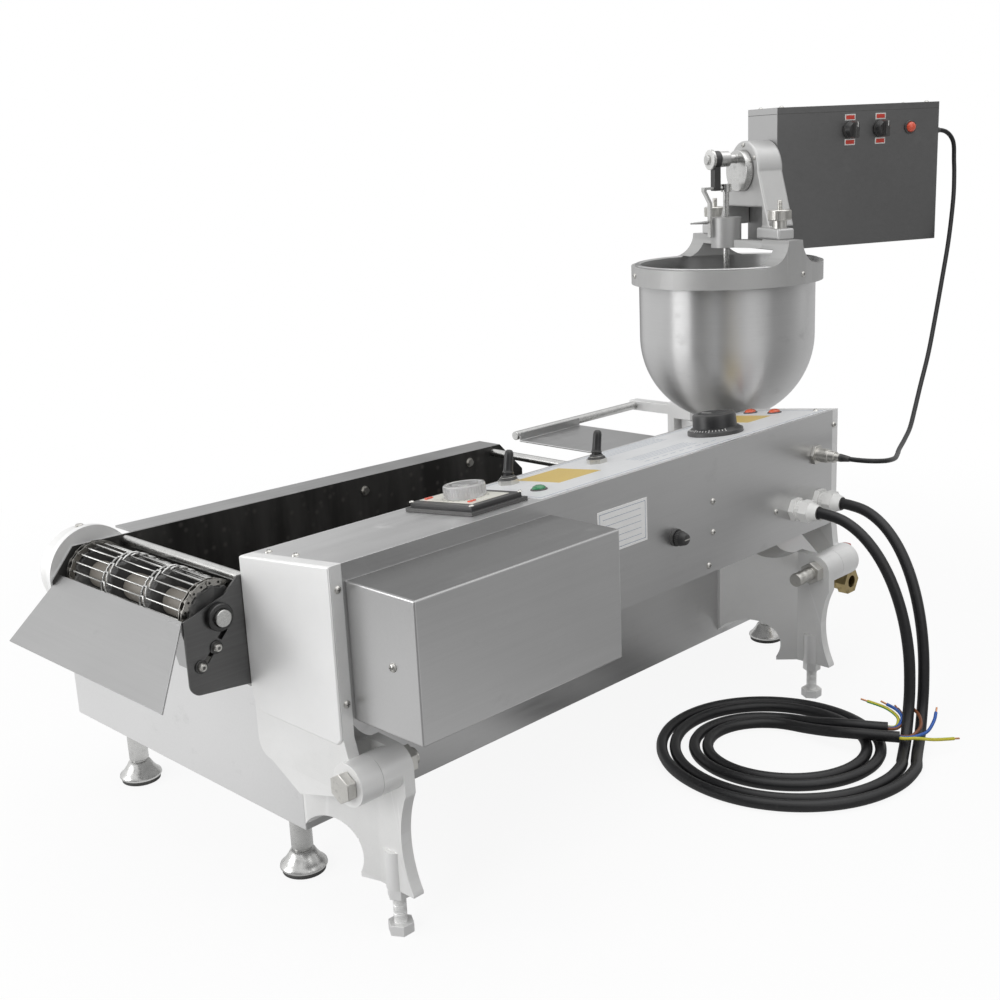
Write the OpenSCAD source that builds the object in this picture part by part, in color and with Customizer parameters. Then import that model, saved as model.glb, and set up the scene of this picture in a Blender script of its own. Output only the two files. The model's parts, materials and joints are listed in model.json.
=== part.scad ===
// Countertop donut fryer: an oil tank on feet and two outrigger legs, a control
// head hinged along the operator's side that carries the outfeed belt, and a
// depositing hopper that swivels on a post at the rear of the tank.
// Machine axes: X from the outfeed chute to the hopper, Y from the operator to
// the far side, Z up from the table. Sizes are in millimetres.

/* [Tank] */
// Distance from the front end plate's face to the tank
tank_x = 14; // [13:0.5:18]
// Length of the tank behind the control box
tank_over = 105; // [90:1:130]
// Near wall of the tank, measured from the control box's face
tank_y = 88; // [86:1:96]
// Width of the tank
tank_w = 434; // [410:1:460]
// Height of the tank's bottom above the table
tank_z = 79; // [74:1:84]
// Height of the tank casing's rim above the table
rim_z = 208; // [200:1:209]
// Gap between the casing and the oil pan
pan_gap = 14; // [10:1:18]
// Height of the pan's floor above the casing's bottom
pan_lift = 20; // [14:1:26]

/* [Sheet metal] */
// Thickness of the sheet steel
sheet = 2; // [1.5:0.1:2.5]
// Thickness of the cast end plates
plate_t = 12; // [10:0.5:12.5]

/* [Feet and legs] */
// Inset of a foot from the tank's front and rear walls
foot_in_x = 36; // [32:1:60]
// Inset of a foot from the tank's side walls
foot_in_y = 61; // [40:1:70]
// Radius of a foot's disc
foot_r = 24; // [20:0.5:28]
// Radius of a foot's stem
stem_r = 11; // [9:0.5:13]
// Thickness of the rubber under a foot
pad_t = 5; // [4:0.5:7]
// Thickness of a leg's web
web_t = 12; // [10:0.5:14]
// Height of a leg's lower edge
leg_pad_z = 46; // [42:1:50]
// Radius of a leg's levelling screw
screw_r = 6; // [5:0.5:7]

/* [Hinge] */
// Distance of the hinge axis outside the control box's face
hinge_out = 14; // [10:1:18]
// Height of the hinge axis
hinge_z = 168; // [164:1:172]
// Radius of the hinge barrels
barrel_r = 20; // [18:0.5:22]
// Radius of the hinge bolts
bolt_r = 8; // [7:0.25:9]
// Length of an end plate's hinge lug
lug_l = 24; // [20:1:26]
// Length of a leg's hinge barrel
barrel_l = 34; // [30:1:38]
// Running clearance of a turning fit, on the radius
run_c = 0.05; // [0.02:0.01:0.1]
// Gap between flat faces that slide past each other
slide_c = 0.3; // [0.3:0.05:0.5]

/* [Control box] */
// Length over the end plates
box_l = 800; // [780:1:820]
// Width of the control box
box_w = 131; // [126:1:140]
// Height of the panel's near edge
top_z = 360; // [350:1:370]
// Fall of the panel towards the tank
top_fall = 14; // [10:1:18]
// Height of the near face's lower edge
box_z = 215; // [213:1:222]
// Start of the motor cover behind the front end plate's face
cover_x = 15; // [13:1:30]
// Length of the motor cover
cover_l = 256; // [230:1:280]
// Depth of the motor cover
cover_d = 88; // [75:1:95]
// Height of the motor cover
cover_h = 128; // [115:1:132]

/* [Outfeed] */
// Inner face of the far side plate
wall_y = 353; // [340:1:365]
// Height of the far side plate's flange at the front
wall_z = 327; // [322:1:332]
// Width of the far side plate's flange
flange_w = 36; // [28:1:42]
// Rear end of the side plates
wall_x = 556; // [535:1:570]
// Distance of the drive shaft ahead of the end plate
drive_x = 30; // [27:0.5:32]
// Drive shaft height
drive_z = 296; // [294:0.5:299]
// Radius of the belt's line round the shafts
belt_r = 30; // [28:0.5:31]
// Diameter of the belt's wire
wire_d = 2.2; // [1.8:0.1:2.6]
// Pitch of the belt's wires
wire_pitch = 14; // [13:0.5:18]
// Radius of the conveyor shafts
shaft_r = 8; // [7:0.5:9]
// Distance from the end plate back to the tail shaft
tail_x = 180; // [175:1:190]
// Tail shaft height
tail_z = 160; // [157:1:166]
// Run of the chute in X
chute_run = 61; // [50:1:70]
// Fall of the chute
chute_fall = 51; // [40:1:60]
// Flare of the chute's near edge
chute_flare = 55; // [20:1:60]

/* [Hopper] */
// Hopper axis behind the control box
hop_over = 52; // [45:1:60]
// Hopper axis from the control box's face
hop_y = 204; // [200:1:215]
// Radius of the bowl
bowl_r = 117; // [110:1:120]
// Height of the bowl's rim
bowl_z = 530; // [520:1:540]
// Straight depth of the bowl above its round bottom
bowl_h = 97; // [90:1:105]
// Wall of the bowl
bowl_t = 2; // [1.5:0.1:2.5]
// Radius of the nozzle
nozzle_r = 28; // [25:0.5:30]
// Width of the cast ring's band, from the bowl outwards
ring_w = 10; // [8:0.5:13]
// Height of the cast ring
ring_h = 24; // [20:1:28]
// Yaw of the depositor's head
yaw = 25; // [20:1:30]
// Height of the crank axis
crank_z = 648; // [644:1:652]
// Throw of the crank
throw = 16; // [13:0.5:18]
// Radius of the plunger rod
rod_r = 4; // [3:0.25:4.5]
// Motor box length
mbox_l = 255; // [235:1:270]
// Motor box width
mbox_w = 74; // [68:1:80]
// Motor box height
mbox_h = 184; // [170:1:195]
// Height of the motor box's top
mbox_z = 726; // [720:1:735]
// Post behind the tank's rear wall
post_x = 20; // [19:0.5:26]
// Post from the control box's face
post_y = 321; // [315:1:330]
// Stay rod from the control box's face
rod_y = 412; // [405:1:420]
// Radius of the swivel pin
pin_r = 10; // [8:0.5:11]
// Radius of the stay rod
stay_r = 6; // [5:0.5:7]

/* [Panel pieces] */
// Radius of the large knob's skirt
knob_r = 33; // [30:0.5:36]
// Radius of the thermostat's dial
dial_r = 21; // [18:0.5:23]
// Radius of a pilot lamp
lamp_r = 7; // [6:0.5:8]
// Radius of a selector knob
sel_r = 11; // [9:0.5:13]

/* [Cords] */
// Diameter of a mains cord
cord_d = 13; // [11:0.5:13]
// Diameter of the thin lead
lead_d = 6; // [5:0.5:7]

/* [Hidden] */
$fn = 48;

tank_end = box_l + tank_over;
tank_l = tank_end - tank_x;
hop_x = box_l + hop_over;
chute_x = -drive_x - belt_r - 2 * wire_d - 2;
chute_z = drive_z + 5;
mbox_s = 63;
mbox_t = 14;
x_min = chute_x - chute_run;
x_max = hop_x + (mbox_s + mbox_l) * cos(yaw) + (mbox_t + mbox_w / 2) * sin(yaw);
y_min = -cover_d;
y_max = tank_y + tank_w;
mid_x = (x_min + x_max) / 2;
mid_y = (y_min + y_max) / 2;
hinge_y = -hinge_out;
inner_y = box_w - sheet;
lug_x = 14 - lug_l;
leg_x = 14 + slide_c;
rear_lug_x = box_l - plate_t - lug_l;
rear_leg_x = rear_lug_x - slide_c - barrel_l;
pan_rim = rim_z + sheet;
pan_z = tank_z + pan_lift;
tilt = atan2(top_fall, box_w);
drive_y0 = box_w + sheet + slide_c;
drive_y1 = wall_y - slide_c;
bowl_c = bowl_z - bowl_h;
nozzle_z = 262;
ring_z = bowl_z - ring_h;
post_cx = tank_end + post_x;
hub_z = 262;
hub_h = 30;
leg_top = 562;
steel = "lightsteelblue";
cast = "gainsboro";
dark = "dimgray";
black = "#222222";

module machine() translate([-mid_x, -mid_y, 0]) children();
module hopper() machine() translate([hop_x, hop_y, 0]) rotate([0, 0, -yaw]) children();
// A point on the sloping panel: its top face at x, y, with z along the panel's normal
module panel(x, y) machine() translate([x, y, top_z - top_fall * y / box_w]) rotate([-tilt, 0, 0]) children();
// A point on the near face: z points out towards the operator
module near_face(x, z) machine() translate([x, 0, z]) rotate([90, 0, 0]) children();
module along_x(x0, x1, r, y, z) translate([x0, y, z]) rotate([0, 90, 0]) cylinder(h = x1 - x0, r = r);
module along_y(y0, y1, r, x, z) translate([x, y0, z]) rotate([-90, 0, 0]) cylinder(h = y1 - y0, r = r);
// A profile drawn in X and Z, raised along Y
module side_plate(y, t) translate([0, y + t, 0]) rotate([90, 0, 0]) linear_extrude(t) children();
// A profile drawn in Y and Z, raised along X
module cross_plate(x, t) translate([x, 0, 0]) rotate([90, 0, 90]) linear_extrude(t) children();
module hex(h, af) cylinder(h = h, r = af / sqrt(3), $fn = 6);

// Tank and its supports

module open_box(x, y, z, l, w, top, t) {
    difference() {
        translate([x, y, z]) cube([l, w, top - z]);
        translate([x + t, y + t, z + t]) cube([l - 2 * t, w - 2 * t, top - z]);
    }
}

// The valve stands clear of the rear end plate's bolt
valve_x = box_l + 46;
valve_z = tank_z + 42;
module tank_casing() color(steel) machine() difference() {
    open_box(tank_x, tank_y, tank_z, tank_l, tank_w, rim_z, sheet);
    along_y(tank_y - 1, tank_y + sheet + 1, 12, valve_x, valve_z);
}

module oil_pan() color("silver") machine() difference() {
    union() {
        translate([tank_x, tank_y, rim_z]) cube([tank_l, tank_w, sheet]);
        translate([tank_x + pan_gap, tank_y + pan_gap, pan_z])
            cube([tank_l - 2 * pan_gap, tank_w - 2 * pan_gap, pan_rim - pan_z]);
        along_y(tank_y + sheet, tank_y + pan_gap + 1, 14, valve_x, valve_z);
    }
    translate([tank_x + pan_gap + sheet, tank_y + pan_gap + sheet, pan_z + sheet])
        cube([tank_l - 2 * (pan_gap + sheet), tank_w - 2 * (pan_gap + sheet), pan_rim]);
    along_y(tank_y, tank_y + pan_gap + sheet + 1, 8, valve_x, valve_z);
}

// A foot: stem, collar, bell-shaped disc and the rubber under it
module foot(x, y) color("silver") machine() translate([x, y, 0]) {
    cylinder(h = pad_t, r = foot_r - 2);
    translate([0, 0, pad_t]) cylinder(h = 3, r = foot_r);
    translate([0, 0, pad_t + 3]) cylinder(h = 15, r1 = foot_r, r2 = stem_r + 1);
    translate([0, 0, pad_t + 18]) cylinder(h = 3, r = stem_r - 2);
    translate([0, 0, pad_t + 21]) cylinder(h = tank_z - pad_t - 21, r = stem_r);
}
module foot_front_near() foot(tank_x + foot_in_x, tank_y + foot_in_y);
module foot_front_far() foot(tank_x + foot_in_x, tank_y + tank_w - foot_in_y);
module foot_rear_near() foot(tank_end - foot_in_x, tank_y + foot_in_y);
module foot_rear_far() foot(tank_end - foot_in_x, tank_y + tank_w - foot_in_y);

// The web of a leg: arched between tank and foot, waisted on its outer edge
pad_out = hinge_y - 18;
pad_in = hinge_y + 44;
arch_r = 34;
waist_r = 110;
module leg_web() difference() {
    polygon([[tank_y, tank_z + 6], [tank_y, hinge_z + 26], [hinge_y, hinge_z + barrel_r],
        [hinge_y - barrel_r, hinge_z], [pad_out - 4, leg_pad_z], [pad_in, leg_pad_z], [pad_in, tank_z + 6]]);
    translate([pad_in + arch_r - 4, tank_z - 12]) circle(arch_r);
    translate([pad_out - 4 - waist_r + 12, (hinge_z + leg_pad_z) / 2 - 8]) circle(waist_r, $fn = 96);
    translate([hinge_y + 46, hinge_z + 44]) circle(30);
}

// The web spreads in plan towards the tank, by its reach along the tank's wall
module leg(x, web_x, reach) color(cast) machine() difference() {
    union() {
        cross_plate(web_x, web_t) leg_web();
        intersection() {
            cross_plate(web_x - reach, web_t + reach) leg_web();
            linear_extrude(rim_z) polygon([[web_x - reach, tank_y + 1], [web_x + 2, tank_y + 1],
                [web_x + 2, spread_y], [web_x, spread_y], [web_x - reach, tank_y - 4]]);
        }
        along_x(x, x + barrel_l, barrel_r, hinge_y, hinge_z);
        translate([web_x - 3, tank_y - 12, tank_z + 12]) cube([web_t + 6, 12, hinge_z - tank_z - 4]);
        translate([web_x + web_t / 2, hinge_y + 6, leg_pad_z]) cylinder(h = 38, r = screw_r + 5);
    }
    along_x(x - 1, x + barrel_l + 1, bolt_r + run_c, hinge_y, hinge_z);
    translate([web_x + web_t / 2, hinge_y + 6, leg_pad_z - 1]) cylinder(h = 31, r = screw_r + run_c);
}
web_front = leg_x + barrel_l - web_t;
web_rear = rear_leg_x;
spread_y = hinge_y + 24;
module leg_front() leg(leg_x, web_front, web_front - tank_x);
module leg_rear() leg(rear_leg_x, web_rear, 62);

module leg_screw(web_x) color("silver") machine() translate([web_x + web_t / 2, hinge_y + 6, 0]) {
    hex(10, 22);
    translate([0, 0, 10]) cylinder(h = leg_pad_z + 20, r = screw_r);
    translate([0, 0, leg_pad_z - 10]) hex(10, 19);
}
module leg_screw_front() leg_screw(web_front);
module leg_screw_rear() leg_screw(web_rear);

module hinge_bolt_front() color("silver") machine() translate([0, hinge_y, hinge_z]) rotate([0, 90, 0]) {
    translate([0, 0, lug_x - slide_c - 9]) hex(9, 24);
    translate([0, 0, lug_x - slide_c]) cylinder(h = lug_l + 2 * slide_c + barrel_l + 18, r = bolt_r);
    translate([0, 0, leg_x + barrel_l]) hex(12, 24);
}
module hinge_bolt_rear() color("silver") machine() translate([0, hinge_y, hinge_z]) rotate([0, 90, 0]) {
    translate([0, 0, box_l + slide_c]) hex(9, 24);
    translate([0, 0, rear_leg_x - 44]) cylinder(h = box_l + slide_c - rear_leg_x + 44, r = bolt_r);
    translate([0, 0, rear_leg_x - 12]) hex(12, 24);
}

// Ball valve: tail into the tank, body, outlet towards the operator, stem upwards
valve_y = tank_y - 46;
module drain_valve() color("goldenrod") machine() difference() {
    union() {
        along_y(valve_y, tank_y, 11, valve_x, valve_z);
        translate([valve_x, tank_y - 8, valve_z]) rotate([-90, 0, 0]) hex(8, 30);
        translate([valve_x, valve_y, valve_z]) sphere(19);
        along_y(valve_y - 40, valve_y, 13, valve_x, valve_z);
        translate([valve_x, valve_y - 40, valve_z]) rotate([-90, 0, 0]) hex(14, 30);
        translate([valve_x, valve_y, valve_z]) cylinder(h = 28, r = 9);
    }
    along_y(valve_y - 41, tank_y + 1, 8, valve_x, valve_z);
    translate([valve_x, valve_y, valve_z + 20]) cylinder(h = 9, r = 4 + run_c);
}
module valve_handle() color("firebrick") machine() translate([valve_x, valve_y, valve_z]) {
    translate([0, 0, 21]) cylinder(h = 13, r = 4);
    translate([0, 0, 28 + slide_c]) cylinder(h = 6, r = 9);
    translate([0, -7, 28 + slide_c]) cube([58, 14, 4]);
}

// The hopper's post: two lugs on a spine, bolted behind the tank's rear wall
lug_w = 15;
module hopper_post() color(cast) machine() difference() {
    union() {
        translate([tank_end, post_y - lug_w, 120]) cube([post_x + lug_w, 2 * lug_w, hub_z - 120]);
        translate([tank_end, post_y + lug_w, 120]) cube([post_x + lug_w, 12, hub_z + hub_h + 24 - 120]);
        translate([tank_end, post_y - lug_w, hub_z + hub_h + 2 * slide_c])
            cube([post_x + lug_w, 2 * lug_w + 12, 24 - 2 * slide_c]);
        translate([tank_end, post_y + lug_w, stay_z - stay_r - 1])
            cube([18, rod_y - post_y - lug_w + stay_r + 3, 2 * stay_r + 2]);
    }
    translate([post_cx, post_y, hub_z - 61]) cylinder(h = 130, r = pin_r + run_c);
}
stay_z = hub_z + hub_h + 13;
stay_x = tank_end - 260;
module stay_rod() color("silver") machine() along_x(stay_x, tank_end, stay_r, rod_y, stay_z);

// Head: castings, sheet and outfeed

// An end plate's outline: upper panel with a round corner, an arm down to the hinge lug
module plate_outline(low, arm_y, arm_drop) {
    polygon([[0, top_z], [box_w, top_z - top_fall], [box_w, low + 18], [box_w - 18, low],
        [arm_y, low - arm_drop], [hinge_y + 7, hinge_z - barrel_r + 2], [hinge_y, hinge_z],
        [-4, hinge_z + barrel_r], [0, max(low, hinge_z + barrel_r + 8) + 6]]);
    translate([box_w - 18, low + 18]) circle(18);
}
module end_plate(x, lug_from, lug_to, low, arm_y, arm_drop) color(cast) machine() difference() {
    union() {
        cross_plate(x, plate_t) plate_outline(low, arm_y, arm_drop);
        along_x(lug_from, lug_to, barrel_r, hinge_y, hinge_z);
    }
    along_x(lug_from - 1, lug_to + 1, bolt_r + run_c, hinge_y, hinge_z);
}
front_low = 150;
module end_plate_front() end_plate(0, lug_x, lug_x + lug_l, front_low, tank_y - 16, 22);
// The rear plate ends above the tank's rim, with a shorter arm to its lug
module end_plate_rear() end_plate(box_l - plate_t, rear_lug_x, box_l, box_z, tank_y - 20, 0);

// The folded cover: sloping top and near face, closed by the inner wall and floor
module control_cover() color(steel) difference() {
    machine() cross_plate(plate_t, box_l - 2 * plate_t)
        polygon([[0, box_z], [0, top_z], [box_w, top_z - top_fall], [box_w, top_z - top_fall - sheet],
            [sheet, top_z - sheet - top_fall * sheet / box_w], [sheet, box_z]]);
    panel(knob_x, knob_y) translate([0, 0, -9]) cylinder(h = 18, r = knob_pin + run_c);
}
module inner_wall() color(steel) machine() cross_plate(plate_t, box_l - 2 * plate_t)
    polygon([[sheet, box_z], [sheet, box_z + sheet], [inner_y, box_z + sheet],
        [inner_y, top_z - top_fall - sheet], [box_w, top_z - top_fall - sheet], [box_w, box_z]]);

cover_z = box_z + 1;
module motor_cover() color(steel) machine() difference() {
    translate([cover_x, -cover_d, cover_z]) cube([cover_l, cover_d, cover_h]);
    translate([cover_x + sheet, sheet - cover_d, cover_z + sheet])
        cube([cover_l - 2 * sheet, cover_d, cover_h - 2 * sheet]);
}

// Side plates: high at the drive shaft, stepped over the tank's rim, deep at the tail shaft
step_x = tank_x + pan_gap + sheet + 10;
housing_r = 43;
side_low = tail_z - 32;
wall_fall = 10;
module shaft_holes(r) {
    translate([-drive_x, drive_z]) circle(r);
    translate([tail_x, tail_z]) circle(r);
}
// The flange starts clear of the bearing housing
flange_x = housing_r + 6 - drive_x;
module far_wall() color(steel) machine() {
    side_plate(wall_y, sheet) difference() {
        polygon([[-drive_x - 46, wall_z - 30], [-drive_x - 20, wall_z], [wall_x, wall_z - wall_fall],
            [wall_x + 40, wall_z - wall_fall - 40], [wall_x + 40, side_low], [step_x, side_low],
            [step_x, pan_rim + 8], [-drive_x, drive_z - 36], [-drive_x - 46, drive_z - 24]]);
        shaft_holes(shaft_r + run_c);
    }
    side_plate(wall_y + sheet, flange_w)
        polygon([[flange_x, wall_z - sheet - 1.2], [flange_x, wall_z - 0.9], [wall_x, wall_z - wall_fall],
            [wall_x, wall_z - wall_fall - sheet]]);
}
// The near plate has a cheek in front of the end plate, with two slanted slots
near_top = drive_z + 32;
cheek_out = drive_x + 36;
module near_wall() color(steel) machine() side_plate(box_w, sheet) difference() {
    union() {
        polygon([[-cheek_out, drive_z + 4], [-drive_x + 8, drive_z + 18], [-6, near_top], [wall_x, near_top],
            [wall_x, side_low], [step_x, side_low], [step_x, pan_rim + 8], [12 - cheek_out, drive_z - 68],
            [-cheek_out, drive_z - 56]]);
        translate([12 - cheek_out, drive_z - 56]) circle(12);
    }
    shaft_holes(shaft_r + run_c);
    for (k = [0, 1]) translate([-drive_x - 12 + 16 * k, drive_z - 34 + 18 * k]) rotate(48) square([14, 5], center = true);
}

// Round bearing housings outside the side plates, with a set screw on the rim
module bearing(y, l) difference() {
    union() {
        along_y(y, y + l, housing_r, -drive_x, drive_z);
        along_y(y, y + l * 0.3, housing_r + 4, -drive_x, drive_z);
        translate([-drive_x, y + l * 0.6, drive_z]) cylinder(h = housing_r + 3, r = 4);
    }
    along_y(y - 1, y + l + 1, shaft_r + run_c, -drive_x, drive_z);
}
module bearing_far() color(cast) machine() bearing(wall_y + sheet, 30);
near_bush = 6;
module bearing_near() color(cast) machine() difference() {
    along_y(box_w - near_bush, box_w, 13, -drive_x, drive_z);
    along_y(box_w - near_bush - 1, box_w + 1, shaft_r + run_c, -drive_x, drive_z);
}

// Tubes that hold the side plates apart
tube_r = 5;
tube_front = [8, wall_z - 7];
tube_rear = [wall_x - 14, wall_z - wall_fall - 8];
module cross_tubes() color("silver") machine() for (t = [tube_front, tube_rear])
    along_y(box_w + sheet, wall_y, tube_r, t[0], t[1]);

tray_x = wall_x + 29;
tray_l = 118;
tray_z = 316;
tray_y1 = wall_y - 8;
module rear_tray() color(steel) machine() {
    translate([tray_x, box_w, tray_z]) cube([tray_l, tray_y1 - box_w, sheet]);
    translate([tray_x, tray_y1 - sheet, tray_z]) cube([tray_l, sheet, 12]);
}

// The chute: a sloping plate, flared towards the operator at its lip, with a rear tab
chute_a = atan2(chute_fall, chute_run);
chute_s = norm([chute_run, chute_fall]);
module chute() color(steel) machine() {
    translate([chute_x, 0, chute_z]) rotate([0, -chute_a, 0]) translate([-chute_s, 0, -sheet]) linear_extrude(sheet)
        polygon([[0, box_w - chute_flare], [chute_s, box_w + sheet], [chute_s, wall_y], [0, wall_y]]);
    side_plate(box_w + sheet, 24)
        polygon([[chute_x - 3, chute_z - 2], [chute_x + 0.5, chute_z - 2], [chute_x + 11, drive_z - 44],
            [chute_x + 7, drive_z - 44]]);
}

// Flat-flex belt: each wire runs across with hooks that lap the next wire
run_dx = tail_x + drive_x;
run_dz = drive_z - tail_z;
run_l = norm([run_dx, run_dz]);
run_a = atan2(run_dz, run_dx);
arc_l = PI * belt_r;
loop_l = 2 * run_l + 2 * arc_l;
wires = floor(loop_l / wire_pitch);
step = loop_l / wires;
// Position in X and Z along the belt's line, with a lift outwards
function on_loop(s, h) = let(d = s % loop_l, u = [cos(run_a), -sin(run_a)], n = [sin(run_a), cos(run_a)],
        f = [-drive_x, drive_z], t = [tail_x, tail_z], r = belt_r + h)
    d < run_l ? f + u * d + n * r
    : d < run_l + arc_l ? let(a = (d - run_l) / belt_r * 180 / PI) t + r * (n * cos(a) + u * sin(a))
    : d < 2 * run_l + arc_l ? t - u * (d - run_l - arc_l) - n * r
    : let(a = (d - 2 * run_l - arc_l) / belt_r * 180 / PI) f - r * (n * cos(a) + u * sin(a));
function belt_pt(s, y, h) = let(p = on_loop(s, h)) [p[0], y, p[1]];
belt_y0 = drive_y0 + 4;
belt_y1 = drive_y1 - 4;
hook_w = 7;
hook_lift = wire_d + 0.5;
function hook(s, y) = [belt_pt(s, y - hook_w / 2, 0), belt_pt(s + step * 1.06, y - hook_w / 2 + 1, hook_lift),
    belt_pt(s + step * 1.06, y + hook_w / 2 - 1, hook_lift), belt_pt(s, y + hook_w / 2, 0)];
function wire_path(i) = let(w = belt_y1 - belt_y0)
    [for (k = [0 : 3]) each hook(i * step, belt_y0 + hook_w / 2 + k * (w - hook_w) / 3)];

// Tubes of n sides swept along paths, as one closed polyhedron of triangles
function unit(v) = v / norm(v);
function tangent(p, i) = unit(p[min(i + 1, len(p) - 1)] - p[max(i - 1, 0)]);
function across(t) = abs(t[2]) > 0.95 ? unit(cross(t, [0, 1, 0])) : unit(cross(t, [0, 0, 1]));
function ring_points(p, i, r, n) = let(t = tangent(p, i), a = across(t), b = cross(t, a))
    [for (k = [0 : n - 1]) p[i] + r * (a * cos(360 * k / n) + b * sin(360 * k / n))];
function tube_points(p, r, n) = concat([for (i = [0 : len(p) - 1]) each ring_points(p, i, r, n)],
    [p[0]], [p[len(p) - 1]]);
function tube_faces(m, n, o) = concat(
    [for (i = [0 : m - 2], k = [0 : n - 1]) let(j = (k + 1) % n)
        each [[o + i * n + k, o + i * n + j, o + (i + 1) * n + k],
            [o + i * n + j, o + (i + 1) * n + j, o + (i + 1) * n + k]]],
    [for (k = [0 : n - 1]) let(j = (k + 1) % n)
        each [[o + m * n, o + j, o + k], [o + m * n + 1, o + (m - 1) * n + k, o + (m - 1) * n + j]]]);
module tubes(paths, r, n) {
    m = len(paths[0]);
    polyhedron([for (p = paths) each tube_points(p, r, n)],
        [for (q = [0 : len(paths) - 1]) each tube_faces(m, n, q * (m * n + 2))]);
}
module tube(p, r, n) tubes([p], r, n);
module wire_belt() color("silver") machine() tubes([for (i = [0 : wires - 1]) wire_path(i)], wire_d / 2, 4);

// Drive shaft with spacer tubes, and the toothed discs that carry the belt
spacer_r = 12;
disc_t = 10;
disc_gap = (drive_y1 - drive_y0 - 8) / 3;
function disc_y(k) = drive_y0 + 4 + k * disc_gap - (k == 0 ? 0 : k == 3 ? disc_t : disc_t / 2);
module drive_shaft() color("silver") machine() {
    along_y(box_w - near_bush - 4, wall_y + sheet + 32, shaft_r, -drive_x, drive_z);
    for (k = [0 : 2]) along_y(disc_y(k) + disc_t, disc_y(k + 1), spacer_r, -drive_x, drive_z);
}
teeth = 12;
tooth_tip = belt_r - wire_d / 2 - slide_c;
module sprocket() difference() {
    union() {
        circle(tooth_tip - 3);
        for (k = [0 : teeth - 1]) rotate(360 * k / teeth) translate([tooth_tip - 4, 0]) circle(4, $fn = 6);
    }
    circle(shaft_r + run_c);
}
module drive_sprockets() color(black) machine() for (k = [0 : 3])
    translate([-drive_x, disc_y(k) + disc_t, drive_z]) rotate([90, 0, 0]) linear_extrude(disc_t) sprocket();
module tail_shaft() color("silver") machine() {
    along_y(box_w + slide_c - 1, wall_y + sheet + 8, shaft_r, tail_x, tail_z);
    along_y(drive_y0 + 2, drive_y1 - 2, tooth_tip, tail_x, tail_z);
}

// Panel pieces

thermo_x = 222;
thermo_y = 66;
thermo_l = 96;
thermo_w = 76;
thermo_h = 9;
module thermostat() color(black) panel(thermo_x, thermo_y) difference() {
    union() {
        translate([-thermo_w / 2, -thermo_l / 2, 0]) cube([thermo_w, thermo_l, 4]);
        translate([-thermo_w / 2 + 4, -thermo_l / 2 + 4, 4]) cube([thermo_w - 8, thermo_l - 8, thermo_h - 4]);
    }
    translate([0, 0, 2]) cylinder(h = thermo_h, r = 4 + run_c);
}
module dial_knob() color("ivory") panel(thermo_x, thermo_y) {
    translate([0, 0, 3]) cylinder(h = thermo_h, r = 4);
    translate([0, 0, thermo_h + slide_c]) cylinder(h = 4, r = dial_r);
    translate([0, 0, thermo_h + slide_c + 4]) cylinder(h = 9, r = dial_r - 4);
    translate([-dial_r + 4, -2.5, thermo_h + slide_c + 4]) cube([2 * dial_r - 8, 5, 12]);
}

nut_h = 5;
// The cross pin that a toggle turns on, in a groove of its nut
module pivot(gap) rotate([90, 0, 0]) cylinder(h = 13 + 2 * gap, r = 1.5 + gap / 3, center = true);
module toggle_nut(x, y) panel(x, y) difference() {
    union() {
        hex(nut_h, 20);
        cylinder(h = nut_h + 3, r = 8);
    }
    translate([0, 0, nut_h + 3]) {
        sphere(5.5);
        pivot(slide_c);
    }
}
// A toggle in its rubber boot: turns on a ball seat in the nut
module toggle(x, y) color(black) panel(x, y) translate([0, 0, nut_h + 3]) {
    sphere(5.2);
    pivot(0);
    rotate([0, 14, 0]) {
        translate([0, 0, 2]) cylinder(h = 10, r1 = 4.5, r2 = 6.5);
        translate([0, 0, 12]) cylinder(h = 12, r1 = 6.5, r2 = 4.5);
        translate([0, 0, 24]) sphere(4.5);
    }
}
toggle_x = [320, 438];
toggle_y = [104, 83];
module toggle_nuts() color("silver") for (k = [0, 1]) toggle_nut(toggle_x[k], toggle_y[k]);
module toggle_front() toggle(toggle_x[0], toggle_y[0]);
module toggle_rear() toggle(toggle_x[1], toggle_y[1]);

knob_x = box_l - 176;
knob_y = 58;
knob_pin = 3;
module speed_knob() color(black) panel(knob_x, knob_y) {
    translate([0, 0, -8]) cylinder(h = 10, r = knob_pin);
    translate([0, 0, slide_c]) cylinder(h = 5, r = knob_r);
    translate([0, 0, slide_c + 5]) cylinder(h = 3, r1 = knob_r, r2 = knob_r - 6);
    difference() {
        translate([0, 0, slide_c + 8]) cylinder(h = 16, r = knob_r - 7);
        for (k = [0 : 11]) rotate(30 * k) translate([knob_r - 6, 0, slide_c + 10]) cylinder(h = 15, r = 2.5);
    }
}
module lamp() {
    cylinder(h = 2, r = lamp_r + 2);
    translate([0, 0, 2]) cylinder(h = 5, r1 = lamp_r, r2 = lamp_r - 2);
}
green_at = [302, 43];
orange_at = [[box_l - 34, 106], [box_l - 34, 70]];
module lamp_green() color("green") panel(green_at[0], green_at[1]) lamp();
module lamps_orange() color("orange") for (p = orange_at) panel(p[0], p[1]) lamp();

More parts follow.
